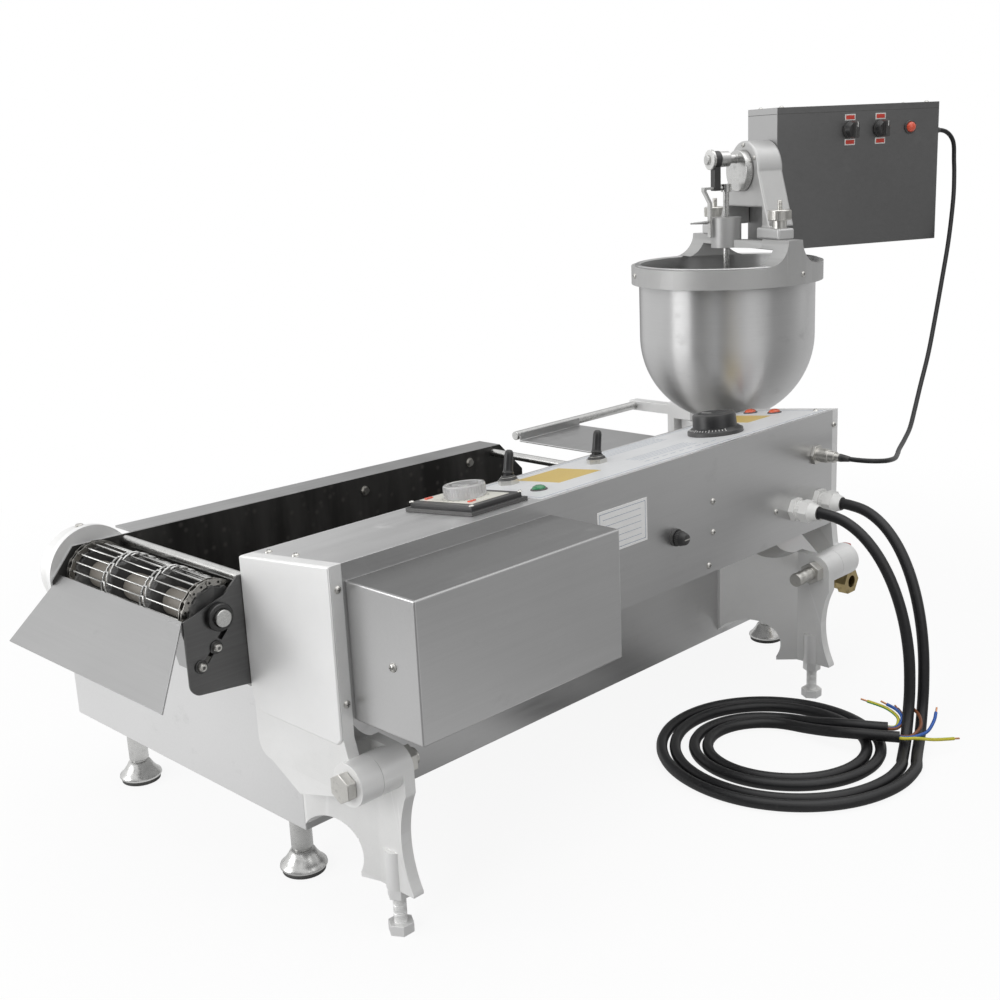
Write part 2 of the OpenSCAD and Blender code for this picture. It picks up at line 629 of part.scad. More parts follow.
fuse_x = 468;
fuse_z = 273;
module fuse_holder() color(black) near_face(fuse_x, fuse_z) {
    hex(4, 20);
    translate([0, 0, 4]) cylinder(h = 6, r = 8);
    translate([0, 0, 10]) cylinder(h = 7, r1 = 8, r2 = 6.5);
}
gland_x = [box_l - 96, box_l - 43];
gland_z = [252, 252];
gland_l = 34;
module gland() difference() {
    union() {
        hex(7, 26);
        translate([0, 0, 7]) cylinder(h = 6, r = 11);
        translate([0, 0, 13]) hex(11, 25);
        translate([0, 0, 24]) cylinder(h = gland_l - 24, r1 = 12, r2 = cord_d / 2 + 2);
    }
    translate([0, 0, 20]) cylinder(h = gland_l, r = cord_d / 2 + 0.3);
}
module glands() color("whitesmoke") for (k = [0, 1]) near_face(gland_x[k], gland_z[k]) gland();
socket_x = box_l - 50;
socket_z = 311;
socket_l = 34;
module lead_socket() color("silver") near_face(socket_x, socket_z) {
    hex(4, 22);
    translate([0, 0, 4]) cylinder(h = 16, r = 8);
    translate([0, 0, 20]) cylinder(h = 8, r = 7);
    translate([0, 0, 28]) cylinder(h = socket_l - 28, r = 5);
}

// Hopper: arm, bowl, cast ring with its yoke, gear housing and motor box

collar_r = nozzle_r + 12;
module hopper_arm() color(cast) machine() difference() {
    union() {
        translate([post_cx, post_y, hub_z + slide_c]) cylinder(h = hub_h, r = lug_w - 2);
        translate([post_cx, post_y, hub_z - 50]) cylinder(h = 50 + hub_h + 22, r = pin_r);
        translate([hop_x, hop_y, hub_z + slide_c + 8]) cylinder(h = hub_h - 8, r = collar_r);
        translate([post_cx, post_y, hub_z + slide_c + 8])
            rotate(atan2(hop_y - post_y, hop_x - post_cx)) translate([0, -12, 0])
            cube([norm([hop_x - post_cx, hop_y - post_y]), 24, hub_h - 8]);
    }
    translate([hop_x, hop_y, hub_z]) cylinder(h = hub_h + 2, r = nozzle_r + 0.1);
}

lip = 5;
module bowl_half(r) {
    translate([0, bowl_c]) square([r, bowl_h + lip]);
    intersection() {
        translate([0, bowl_c]) circle(r, $fn = 96);
        translate([0, bowl_c - r]) square([r, r]);
    }
}
module bowl() color("silver") hopper() rotate_extrude($fn = 96) difference() {
    union() {
        intersection() {
            bowl_half(bowl_r);
            square([bowl_r, bowl_z + 2]);
        }
        translate([0, nozzle_z]) square([nozzle_r, bowl_c - nozzle_z]);
        translate([0, hub_z + hub_h + slide_c]) square([nozzle_r + 8, 14]);
        translate([bowl_r - bowl_t, bowl_z]) square([bowl_t + lip, 2]);
    }
    bowl_half(bowl_r - bowl_t);
    translate([0, nozzle_z - 1]) square([nozzle_r - 4, bowl_c - nozzle_z]);
}

leg_s = 30;
leg_w = 24;
leg_t0 = 62;
leg_t1 = 100;
boss_r = 20;
boss_z = 545;
boss_h = 44;
stub_t = 10;
stub_l = 48;
// A leg's flare: it follows the ring and narrows upwards in two hollow curves
module flare(m) intersection() {
    translate([0, 0, bowl_z - 6]) cylinder(h = leg_top - bowl_z + 6, r = bowl_r + ring_w, $fn = 96);
    side_plate(m > 0 ? leg_t0 : -leg_t1 - 27, leg_t1 - leg_t0 + 27) difference() {
        translate([leg_s - leg_w / 2 - flare_r, bowl_z - 6]) square([leg_w + 2 * flare_r, leg_top - bowl_z + 6]);
        for (q = [-1, 1]) translate([leg_s + q * (leg_w / 2 + flare_r), leg_top]) circle(flare_r);
    }
}
flare_r = 31;
// The casting: a ring round the bowl, two legs and arms that meet at the rod's boss
module ring_yoke() color(cast) hopper() difference() {
    union() {
        translate([0, 0, ring_z]) cylinder(h = ring_h, r = bowl_r + ring_w, $fn = 96);
        for (m = [-1, 1]) {
            flare(m);
            translate([0, 0, boss_z + 4]) linear_extrude(leg_top - boss_z - 6)
                polygon([[-8, 0], [8, 0], [leg_s + leg_w / 2, m * (leg_t0 + 2)], [leg_s - leg_w / 2, m * (leg_t0 + 2)]]);
        }
        translate([0, 0, boss_z]) cylinder(h = boss_h, r = boss_r);
        translate([-stub_l, stub_t, boss_z + boss_h - 6]) rotate([0, 90, 0]) cylinder(h = stub_l - 8, r1 = 1, r2 = 3);
    }
    translate([0, 0, ring_z - 1]) cylinder(h = ring_h + 1, r = bowl_r + 0.3, $fn = 96);
    translate([0, 0, bowl_z]) cylinder(h = 2 + slide_c, r = bowl_r + lip + slide_c, $fn = 96);
    translate([0, 0, ring_z]) cylinder(h = boss_z + 5 - ring_z, r = bowl_r - bowl_t - 22, $fn = 96);
    translate([0, 0, boss_z - 1]) cylinder(h = boss_h + 2, r = rod_r + run_c);
}

// Gear housing: a round drum on a portal whose feet stand on the yoke's legs
drum_r = 38;
drum_s = leg_s - 4;
drum_l = mbox_s - drum_s;
foot_t = 14;
module gear_housing() color(cast) hopper() difference() {
    union() {
        translate([drum_s, 0, 0]) rotate([90, 0, 90]) linear_extrude(drum_l) {
            translate([0, crank_z]) circle(drum_r);
            polygon([[-drum_r + 1, crank_z], [drum_r - 1, crank_z], [leg_t0 + 4, leg_top + foot_t],
                [-leg_t0 - 4, leg_top + foot_t]]);
        }
        for (m = [-1, 1]) translate([leg_s - leg_w / 2, m > 0 ? leg_t0 - 16 : -leg_t1, leg_top])
            cube([leg_w, leg_t1 - leg_t0 + 16, foot_t]);
    }
    translate([drum_s - 1, 0, crank_z]) rotate([0, 90, 0]) cylinder(h = 22, r = 10 + run_c);
    translate([drum_s - 20, -leg_t0 + 16, leg_top - 1]) cube([80, 2 * leg_t0 - 32, foot_t + 26]);
}

stud_t = leg_t1 - 16;
module thumb_nuts() color("silver") hopper() for (m = [-1, 1]) translate([leg_s, m * stud_t, leg_top + foot_t]) {
    cylinder(h = 10, r = 9);
    translate([0, 0, 10]) cylinder(h = 13, r = 15);
    translate([0, 0, 23]) cylinder(h = 12, r = 3);
}

module motor_box() color(dark) hopper() difference() {
    translate([mbox_s, mbox_t - mbox_w / 2, mbox_z - mbox_h]) cube([mbox_l, mbox_w, mbox_h]);
    translate([mbox_s + sheet, mbox_t - mbox_w / 2 + sheet, mbox_z - mbox_h + sheet])
        cube([mbox_l - 2 * sheet, mbox_w - 2 * sheet, mbox_h - 2 * sheet]);
    translate([mbox_s - 1, 0, crank_z]) rotate([0, 90, 0]) cylinder(h = sheet + 2, r = 18);
    for (d = sel_s) translate([mbox_s + d, mbox_t - mbox_w / 2 - 1, sel_z]) rotate([-90, 0, 0])
        cylinder(h = sheet + 2, r = sel_pin + run_c);
}
sel_pin = 3;
lamp_s = 208;
sel_s = [112, 160];
sel_z = mbox_z - 32;
module selector(k) color(black) hopper()
    translate([mbox_s + sel_s[k], mbox_t - mbox_w / 2, sel_z]) rotate([90, 0, 0]) {
        translate([0, 0, -8]) cylinder(h = 10, r = sel_pin);
        translate([0, 0, slide_c]) cylinder(h = 5, r = sel_r);
        translate([0, 0, slide_c + 5]) cylinder(h = 6, r1 = sel_r, r2 = sel_r - 3);
        translate([-3, -sel_r, slide_c + 5]) cube([6, 2 * sel_r, 13]);
    }
module selector_left() selector(0);
module selector_right() selector(1);
module box_lamp() color("red") hopper()
    translate([mbox_s + lamp_s, mbox_t - mbox_w / 2, sel_z]) rotate([90, 0, 0]) lamp();

// Crank disc on the gear shaft, with its pin above the axis at rest
disc_r = 27;
disc_t1 = 10;
disc_s = drum_s - 1;
crank_pin_r = 6;
link_s = -20;
link_w = 9;
module crank() color("silver") hopper() translate([0, 0, crank_z]) rotate([0, 90, 0]) {
    translate([0, 0, disc_s - disc_t1]) cylinder(h = disc_t1, r = disc_r);
    translate([0, 0, disc_s]) cylinder(h = 20, r = 10);
    translate([-throw, 0, link_s - 10]) cylinder(h = disc_s - link_s + 8, r = crank_pin_r);
    translate([-throw, 0, link_s + link_w + slide_c]) cylinder(h = 14, r = 10);
    translate([-throw, 0, link_s - 4]) cylinder(h = 4 - slide_c, r = 13);
}
// The link hangs from the crank pin, beside the plunger's top
link_len = 40;
module link() color(black) hopper() difference() {
    union() {
        translate([link_s, 0, crank_z + throw]) rotate([0, 90, 0]) cylinder(h = link_w, r = 11);
        translate([link_s, -6, crank_z + throw - link_len]) cube([link_w, 12, link_len]);
    }
    translate([link_s - 1, 0, crank_z + throw]) rotate([0, 90, 0]) cylinder(h = link_w + 2, r = crank_pin_r + run_c);
}
// A bent strip on the link's front face, hanging beside the rod's boss
strip_w = 8;
strip_z = crank_z + throw - link_len + 2;
module strip_lever() color("silver") hopper() side_plate(-strip_w / 2, strip_w)
    polygon([[link_s, strip_z], [link_s, strip_z + 3], [link_s - 15, strip_z + 3], [link_s - 15, strip_z - 2],
        [link_s - 6, strip_z - 18], [link_s - 6, strip_z - 62], [link_s - 3, strip_z - 62], [link_s - 3, strip_z - 17],
        [link_s - 11, strip_z - 2], [link_s - 11, strip_z]]);
// Plunger: cross pin at the top, rod through the boss, cutter in the nozzle
plunger_top = crank_z + throw - link_len + 8;
module plunger() color("silver") hopper() {
    translate([0, 0, nozzle_z - 6]) cylinder(h = plunger_top - nozzle_z + 6, r = rod_r);
    translate([0, 0, nozzle_z - 6]) cylinder(h = 6, r1 = 16, r2 = 19);
    translate([0, 0, nozzle_z]) cylinder(h = 14, r = nozzle_r - 4.5);
    translate([0, 0, plunger_top - 10]) cylinder(h = 10, r = 7);
    translate([link_s + link_w + slide_c, 0, plunger_top - 5]) rotate([0, 90, 0])
        cylinder(h = -link_s - link_w, r = 3);
}

// Cords

// The lead leaves the socket, sags under the motor box and climbs to its rear end
lead_in = [(mbox_s + mbox_l) * cos(yaw), -(mbox_s + mbox_l) * sin(yaw)];
lead_to = [hop_x + lead_in[0] - 10 * sin(yaw), hop_y + lead_in[1] - 10 * cos(yaw), sel_z - 6];
lead_points = [[socket_x, -socket_l - slide_c, socket_z], [socket_x, -socket_l - 10, socket_z],
    for (p = [[-38, -51, 308], [-12, -44, 303], [28, -36, 300], [72, -27, 300], [112, -20, 304], [148, -12, 312],
        [180, -6, 330], [210, 0, 352], [245, 8, 392], [274, 15, 436], [304, 22, 486], [330, 28, 540], [350, 32, 606],
        [354, 36, 648], [353, 44, 674]]) p + [box_l, 0, 0],
    lead_to + [14 * cos(yaw), -14 * sin(yaw), 0], lead_to + slide_c * [cos(yaw), -sin(yaw), 0]];
module lead() color(black) machine() tube(lead_points, lead_d / 2, 8);

// The mains cords: out of their glands, down, and along the table into their loops
gland_end = [for (k = [0, 1]) [gland_x[k], -gland_l + 10, gland_z[k]]];
drop_points = [
    [gland_end[0], gland_end[0] + [0, -16, 0], for (p = [[-88, -55, 245], [-79, -64, 230], [-69, -73, 204],
        [-60, -82, 168], [-54, -90, 128], [-52, -96, 88], [-56, -101, 56], [-67, -109, 29], [-83, -121, 12],
        [-102, -138, cord_d / 2]]) p + [box_l, 0, 0]],
    [gland_end[1], gland_end[1] + [0, -16, 0], for (p = [[-39, -56, 246], [-34, -68, 226], [-28, -80, 194],
        [-24, -90, 156], [-24, -97, 116], [-28, -102, 80], [-37, -107, 50], [-51, -116, 25], [-69, -130, 11],
        [-86, -145, cord_d / 2]]) p + [box_l, 0, 0]]];
module mains_drop_front() color(black) machine() tube(drop_points[0], cord_d / 2, 8);
module mains_drop_rear() color(black) machine() tube(drop_points[1], cord_d / 2, 8);

// The loose loops on the table: each cord spirals inwards beside the other
loop_c = [box_l - 228, -65];
loop_r = [134, 149];
loop_in = 32;
loop_turns = 1.9;
loop_a0 = -50;
rings = 24;
function loop_point(k, t) = let(r = loop_r[k] - loop_in * t, a = loop_a0 - 360 * t)
    [loop_c[0] + r * cos(a), loop_c[1] + 1.05 * r * sin(a), cord_d / 2];
function loop_path(k) = let(n = floor(loop_turns * rings))
    concat([drop_points[k][len(drop_points[k]) - 1]], [for (i = [0 : n]) loop_point(k, i / rings)]);
// Least gap between rings of the two cords that lie a turn or a cord apart
function gaps(p, q, skip) = [for (i = [0 : len(p) - 1], j = [0 : len(q) - 1]) if (abs(i - j) >= skip) norm(p[i] - q[j])];
least_gap = min(concat(gaps(loop_path(0), loop_path(0), 4), gaps(loop_path(1), loop_path(1), 4),
    gaps(loop_path(0), loop_path(1), 0))) - cord_d;
assert(least_gap > 1, "the cords' loops lie too close");
module mains_loops() color(black) machine() for (k = [0, 1]) tube(loop_path(k), cord_d / 2, 6);

tank_casing();
oil_pan();
foot_front_near();
foot_front_far();
foot_rear_near();
foot_rear_far();
leg_front();
leg_rear();
leg_screw_front();
leg_screw_rear();
hinge_bolt_front();
hinge_bolt_rear();
drain_valve();
valve_handle();
hopper_post();
stay_rod();
end_plate_front();
end_plate_rear();
control_cover();
inner_wall();
motor_cover();
far_wall();
near_wall();
bearing_far();
bearing_near();
cross_tubes();
rear_tray();
chute();
wire_belt();
drive_shaft();
drive_sprockets();
tail_shaft();
thermostat();
dial_knob();
toggle_nuts();
toggle_front();
toggle_rear();
speed_knob();
lamp_green();
lamps_orange();
fuse_holder();
glands();
lead_socket();
hopper_arm();
bowl();
ring_yoke();
gear_housing();
thumb_nuts();
motor_box();
selector_left();
selector_right();
box_lamp();
crank();
link();
strip_lever();
plunger();
lead();
mains_drop_front();
mains_drop_rear();
mains_loops();
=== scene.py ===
"""Looks of a countertop donut fryer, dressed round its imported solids.

Lengths are millimetres in the machine's own axes until a mesh is finished: X runs
from the outfeed chute to the hopper, Y from the operator to the far side, and Z up
from the table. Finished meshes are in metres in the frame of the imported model.
"""

import json
import logging
from dataclasses import dataclass
from enum import Enum
from math import asin, atan2, cos, hypot, inf, pi, radians, sin, sqrt
from typing import Any, Iterable, Sequence

import bmesh
import bpy
from bpy.types import ID, Material, Mesh, NodeSocket, Object
from mathutils import Matrix, Vector


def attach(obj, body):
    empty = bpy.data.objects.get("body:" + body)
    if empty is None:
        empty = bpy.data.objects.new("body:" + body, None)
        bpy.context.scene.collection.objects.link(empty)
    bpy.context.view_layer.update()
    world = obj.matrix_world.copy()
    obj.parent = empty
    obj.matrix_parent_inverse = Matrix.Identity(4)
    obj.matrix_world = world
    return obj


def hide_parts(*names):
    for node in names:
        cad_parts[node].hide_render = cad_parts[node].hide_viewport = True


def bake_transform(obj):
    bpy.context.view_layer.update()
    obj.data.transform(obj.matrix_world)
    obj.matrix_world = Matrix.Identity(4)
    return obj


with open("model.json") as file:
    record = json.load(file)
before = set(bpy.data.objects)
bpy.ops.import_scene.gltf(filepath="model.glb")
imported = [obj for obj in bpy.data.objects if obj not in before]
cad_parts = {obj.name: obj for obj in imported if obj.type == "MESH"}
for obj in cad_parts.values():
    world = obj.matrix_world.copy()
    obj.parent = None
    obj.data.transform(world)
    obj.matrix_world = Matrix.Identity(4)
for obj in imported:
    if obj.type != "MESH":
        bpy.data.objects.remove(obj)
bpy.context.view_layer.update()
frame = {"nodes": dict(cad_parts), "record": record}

LOG = logging.getLogger("donut_fryer")
MM = 0.001

# Places and sizes that more than one sub-assembly shares
MID_X = 517.18
MID_Y = 217.0
BOX_W = 131.0
TOP_Z = 360.0
TOP_FALL = 14.0
TILT = atan2(TOP_FALL, BOX_W)
HOP_X = 852.0
HOP_Y = 204.0
YAW = radians(25.0)
GLANDS = ((704.0, 252.0), (757.0, 252.0))
SOCKET = (750.0, 311.0)

Point = tuple[float, float, float]
Pair = tuple[float, float]
Area = tuple[float, float, float, float]
Profile = tuple[Pair, ...]
Corners = tuple[Point, Point]

WORLD = Matrix.Identity(4)
MACHINE = Matrix.Translation((-MID_X, -MID_Y, 0.0))
HOPPER = MACHINE @ Matrix.Translation((HOP_X, HOP_Y, 0.0)) @ Matrix.Rotation(-YAW, 4, "Z")
END_VIEW = MACHINE @ Matrix(((0, 0, 1, 0), (1, 0, 0, 0), (0, 1, 0, 0), (0, 0, 0, 1)))

NEARWARD: Point = (0, -1, 0)
FARWARD: Point = (0, 1, 0)
REARWARD: Point = (1, 0, 0)
FORWARD: Point = (-1, 0, 0)
UPWARD: Point = (0, 0, 1)
DOWNWARD: Point = (0, 0, -1)


def standing(point: Point, base: Matrix = MACHINE) -> Matrix:
    """Frame at a point of a base frame, with the base's axes."""
    return base @ Matrix.Translation(point)


def facing(base: Matrix, point: Point, direction: Point) -> Matrix:
    """Frame at a point of a base frame, with Z along a direction of that frame."""
    turn = Vector(direction).to_track_quat("Z", "Y").to_matrix().to_4x4()
    return standing(point, base) @ turn


def panel_frame(x: float, y: float, lift: float = 0.0) -> Matrix:
    """Frame on the sloping panel, lifted along the panel's normal, which is its Z."""
    foot = standing((x, y, TOP_Z - TOP_FALL * y / BOX_W))
    return foot @ Matrix.Rotation(-TILT, 4, "X") @ Matrix.Translation((0, 0, lift))


def near_frame(x: float, z: float) -> Matrix:
    """Frame on the near face of the control box, with Z out towards the operator."""
    return standing((x, 0.0, z)) @ Matrix.Rotation(pi / 2, 4, "X")


def spun(degrees: float) -> Matrix:
    """A turn about Z."""
    return Matrix.Rotation(radians(degrees), 4, "Z")


def polar(radius: float, angle: float) -> Pair:
    """A point of X and Y at a radius and an angle in radians."""
    return (radius * cos(angle), radius * sin(angle))


# Shader maths


def times(values: Sequence[float], factor: float, most: float = inf) -> Point:
    """A colour or a scale times a factor, with no part above a limit."""
    return tuple(min(most, value * factor) for value in values)


def grey(level: float) -> Point:
    """A grey of one level."""
    return (level, level, level)


class Wire:
    """A shader socket with arithmetic: each operation adds a Math node."""

    def __init__(self, net: "Net", socket: NodeSocket) -> None:
        """Holds a socket and the net that it belongs to."""
        self.net = net
        self.socket = socket

    def __add__(self, other: Any) -> "Wire":
        """Sum."""
        return self.net.math("ADD", self, other)

    __radd__ = __add__

    def __sub__(self, other: Any) -> "Wire":
        """Difference."""
        return self.net.math("SUBTRACT", self, other)

    def __rsub__(self, other: Any) -> "Wire":
        """Difference from a number."""
        return self.net.math("SUBTRACT", other, self)

    def __mul__(self, other: Any) -> "Wire":
        """Product."""
        return self.net.math("MULTIPLY", self, other)

    __rmul__ = __mul__

    def limited(self) -> "Wire":
        """The value held between 0 and 1."""
        return self.net.add("ShaderNodeClamp", {}, {"Value": self})

    def step(self, low: float, high: float) -> "Wire":
        """A soft step from 0 at low to 1 at high.

        Args:
            low: Where the step begins.
            high: Where it ends.

        Returns:
            The step's value.
        """
        return self.net.add(
            "ShaderNodeMapRange",
            {"interpolation_type": "SMOOTHSTEP"},
            {"Value": self, "From Min": low, "From Max": high},
        )


class Net:
    """The node tree of a material or of the world."""

    def __init__(self, owner: ID, output: str = "ShaderNodeOutputMaterial") -> None:
        """Empties the owner's tree and gives it an output.

        Args:
            owner: The material or world.
            output: Type of the output node.
        """
        owner.use_nodes = True
        self.owner = owner
        self.tree = owner.node_tree
        self.tree.nodes.clear()
        self.output = self.tree.nodes.new(output)

    def add(
        self,
        kind: str,
        settings: dict[str, Any] | None = None,
        sockets: dict[Any, Any] | None = None,
        out: Any = 0,
    ) -> Wire:
        """Adds one node.

        Args:
            kind: The node's type.
            settings: Properties set before the sockets; "stops" are a ramp's stops.
            sockets: Values or wires by socket name or index.
            out: Name or index of the output that is returned.

        Returns:
            The chosen output.
        """
        node = self.tree.nodes.new(kind)
        for key, value in (settings or {}).items():
            if key == "stops":
                ramp = node.color_ramp
                while len(ramp.elements) < len(value):
                    ramp.elements.new(1.0)
                for element, (place, colour) in zip(ramp.elements, value):
                    element.position = place
                    element.color = (*colour, 1.0)
            else:
                setattr(node, key, value)
        for key, value in (sockets or {}).items():
            socket = node.inputs[key]
            if isinstance(value, Wire):
                self.tree.links.new(value.socket, socket)
            else:
                socket.default_value = value
        return Wire(self, node.outputs[out])

    def math(self, operation: str, first: Any, second: Any = 0.0) -> Wire:
        """Adds one Math node."""
        return self.add("ShaderNodeMath", {"operation": operation}, {0: first, 1: second})

    def place(self, scale: Point = (1.0, 1.0, 1.0), uv: bool = False) -> Wire:
        """Object or UV coordinates, scaled."""
        source = self.add("ShaderNodeTexCoord", out="UV" if uv else "Object")
        return self.add("ShaderNodeMapping", {}, {"Vector": source, "Scale": scale})

    def noise(self, at: Wire, scale: float, detail: float = 3.0, rough: float = 0.5) -> Wire:
        """Noise value, about 0.5 in the mean."""
        sockets = {"Vector": at, "Scale": scale, "Detail": detail, "Roughness": rough}
        return self.add("ShaderNodeTexNoise", {}, sockets)

    def cells(self, at: Wire, scale: float) -> Wire:
        """Distance to the nearest of scattered points."""
        return self.add("ShaderNodeTexVoronoi", {}, {"Vector": at, "Scale": scale})

    def blend(self, factor: Any, first: Any, second: Any) -> Wire:
        """Mix of two colours, each a triple or a wire.

        Args:
            factor: Share of the second colour.
            first: Colour at 0.
            second: Colour at 1.

        Returns:
            The mixed colour.
        """
        sockets = {0: factor}
        for key, value in ((6, first), (7, second)):
            sockets[key] = value if isinstance(value, Wire) else (*value, 1.0)
        return self.add("ShaderNodeMix", {"data_type": "RGBA"}, sockets, out=2)

    def axis(self, name: str, of: Wire) -> Wire:
        """One component of a vector."""
        return self.add("ShaderNodeSeparateXYZ", {}, {0: of}, out=name)

    def normal(self, name: str) -> Wire:
        """One component of the surface's normal in the object's axes."""
        return self.axis(name, self.add("ShaderNodeTexCoord", out="Normal"))

    def edges(self, low: float, high: float) -> Wire:
        """A soft step from 0 on flat places to 1 on sharp edges."""
        return self.add("ShaderNodeNewGeometry", out="Pointiness").step(low, high)

    def ray(self, kind: str) -> Wire:
        """1 for rays of one kind, such as Camera or Glossy."""
        return self.add("ShaderNodeLightPath", out=f"Is {kind} Ray")

    def bump(self, height: Wire, strength: float, distance: float = 0.0004) -> Wire:
        """Bump from a height."""
        sockets = {"Strength": strength, "Distance": distance, "Height": height}
        return self.add("ShaderNodeBump", {}, sockets)

    def end(self, shader: Wire) -> None:
        """Ends the tree in a shader."""
        self.tree.links.new(shader.socket, self.output.inputs["Surface"])

    def surface(
        self, colour: Wire, rough: Wire, normal: Wire, rest: dict[str, Any] | None = None
    ) -> None:
        """Ends the tree in a Principled shader; rest holds further values by socket name."""
        sockets = {"Base Color": colour, "Roughness": rough, "Normal": normal, **(rest or {})}
        self.end(self.add("ShaderNodeBsdfPrincipled", {}, sockets))


# Finishes


class Grain(Enum):
    """Direction of a sheet's brushing, as the stretch of its noise in X, Y and Z."""

    ALONG_X = (4.0, 330.0, 330.0)
    ALONG_Y = (330.0, 4.0, 330.0)
    AROUND_Z = (5.0, 5.0, 420.0)


class Finish:
    """A finish that makes its material once and keeps it."""

    _made: dict[str, Material] = {}
    name: str

    def material(self) -> Material:
        """The finish's material, built on first use.

        Returns:
            The material.
        """
        if self.name not in Finish._made:
            net = Net(bpy.data.materials.new(self.name))
            self.build(net)
            Finish._made[self.name] = net.owner
        return Finish._made[self.name]

    def build(self, net: Net) -> None:
        """Builds the material in an empty net."""
        raise NotImplementedError


@dataclass(frozen=True)
class BrushedSheet(Finish):
    """Rolled and brushed sheet steel with hazy patches and handling marks.

    Faces that look along way get painted light or shade: their colour is scaled lighter or darker for how
    light falls on them.
    """

    name: str
    shade: float
    grain: Grain = Grain.ALONG_X
    rough: float = 0.34
    haze: float = 0.10
    warm: float = 0.0
    spun: float = 0.0
    # Painted light: faces that look along way are made lighter or darker by the factor below.
    way: Point = (0, 0, 1)
    painted_light_gain: float = 1.0

    def build(self, net: Net) -> None:
        """Streaks, clouds and rubbed patches, and painted light or shade on faces that look along way.

        Args:
            net: The material's empty net.
        """
        lines = net.noise(net.place(self.grain.value), 1.0, 4.0, 0.62)
        fine = net.noise(net.place(times(self.grain.value, 4.0)), 1.0, 2.0)
        cloud = net.noise(net.place(), 5.0, 3.0, 0.55)
        marks = net.noise(net.place((9.0, 9.0, 14.0)), 2.4, 6.0, 0.7).step(0.58, 0.74)
        tone = (cloud - 0.5) * self.haze * 2.0 + (lines - 0.5) * 0.16 + (fine - 0.5) * 0.08 + 0.5
        low = times((1.0, 1.0 - self.warm, 1.0 - 2 * self.warm), self.shade * 0.72)
        high = times((1.0, 1.0, 1.0 - self.warm), min(1.0, self.shade * 1.28))
        colour = net.blend(tone.limited(), low, high)
        # Painted light and shade: a lighter or darker copy of the colour on faces that look along way.
        if self.painted_light_gain != 1.0:
            seen = [net.normal(name) * part for name, part in zip("XYZ", self.way)]
            other = net.blend(tone.limited(), times(low, self.painted_light_gain), times(high, self.painted_light_gain))
            colour = net.blend((seen[0] + seen[1] + seen[2]).step(0.5, 0.9), colour, other)
        colour = net.blend(marks * 0.22, colour, grey(self.shade * 0.8))
        roughness = (lines - 0.5) * 0.18 + marks * 0.12 + (cloud - 0.5) * 0.1 + self.rough
        rest = {"Metallic": 1.0, "Anisotropic": self.spun, "Anisotropic Rotation": 0.25}
        net.surface(colour, roughness.limited(), net.bump(lines * 0.6 + fine * 0.4, 0.06), rest)


@dataclass(frozen=True)
class OiledSheet(Finish):
    """Side plate of the fry channel: steel outside, dark with burnt oil inside."""

    name: str
    shade: float
    dark: float
    inner: float

    def build(self, net: Net) -> None:
        """Oil film on the face that looks into the channel, runs and spots in it.

        Args:
            net: The material's empty net.
        """
        lines = net.noise(net.place(Grain.ALONG_X.value), 1.0, 4.0, 0.6)
        runs = net.noise(net.place((26.0, 26.0, 5.0)), 1.0, 5.0, 0.6)
        spots = net.cells(net.place(), 70.0).step(0.02, 0.3)
        inside = (net.normal("Y") * self.inner).step(0.4, 0.6)
        burnt, thin = times((0.7, 0.68, 0.66), self.dark), times((1.5, 1.47, 1.42), self.dark)
        film = net.blend(runs.step(0.35, 0.7), burnt, thin)
        film = net.blend(spots * 0.85 + 0.15, times((2.2, 2.1, 2.0), self.dark), film)
        steel = net.blend(lines, grey(self.shade * 0.8), grey(self.shade * 1.2))
        net.surface(
            net.blend(inside, steel, film),
            (runs - 0.5) * 0.2 + 0.36,
            net.bump(lines + spots * inside * 0.4, 0.08, 0.0005),
            {"Metallic": 1.0 - inside * 0.45},
        )


@dataclass(frozen=True)
class CastMetal(Finish):
    """Sand-cast aluminium, blasted and rubbed bright on its edges."""

    name: str
    shade: float = 0.82
    rough: float = 0.46
    pits: float = 0.5

    def build(self, net: Net) -> None:
        """Grain, pits and cloudy tone.

        Args:
            net: The material's empty net.
        """
        grain = net.noise(net.place(), 900.0, 4.0, 0.6)
        lumps = net.noise(net.place(), 90.0, 3.0, 0.5)
        cloud = net.noise(net.place(), 11.0, 4.0, 0.6)
        holes = 1.0 - net.cells(net.place(), 260.0).step(0.03, 0.16)
        tone = (cloud - 0.5) * 0.5 + (grain - 0.5) * 0.25 + (lumps - 0.5) * 0.2 + 0.5
        dull, bright = times((0.86, 0.86, 0.85), self.shade), times((1.12, 1.12, 1.11), self.shade)
        colour = net.blend(tone.limited(), dull, bright)
        colour = net.blend(holes * self.pits * 0.5, colour, grey(self.shade * 0.55))
        colour = net.blend(net.edges(0.5, 0.56) * 0.5, colour, grey(min(0.95, self.shade * 1.2)))
        roughness = (grain - 0.5) * 0.2 + (cloud - 0.5) * 0.15 + self.rough
        normal = net.bump(grain * 0.5 + lumps * 0.6 - holes * self.pits, 0.16, 0.0009)
        net.surface(colour, roughness.limited(), normal, {"Metallic": 0.5})


@dataclass(frozen=True)
class TurnedMetal(Finish):
    """Machined or plated metal with fine tool marks."""

    name: str
    colour: Point
    rough: float = 0.26
    grime: float = 0.3

    def build(self, net: Net) -> None:
        """Tool marks across the axis and grime in patches.

        Args:
            net: The material's empty net.
        """
        marks = net.noise(net.place((700.0, 700.0, 1500.0)), 1.0, 2.0)
        cloud = net.noise(net.place(), 55.0, 4.0, 0.6)
        dirt = net.noise(net.place(), 160.0, 5.0, 0.65).step(0.52, 0.75) * self.grime
        tone = (cloud - 0.5) * 0.8 + marks * 0.3 + 0.35
        colour = net.blend(tone, times(self.colour, 0.82), times(self.colour, 1.15, 1.0))
        colour = net.blend(dirt, colour, times(self.colour, 0.35))
        roughness = marks * 0.14 + dirt * 0.3 + self.rough - 0.05
        net.surface(colour, roughness.limited(), net.bump(marks, 0.05, 0.0003), {"Metallic": 1.0})


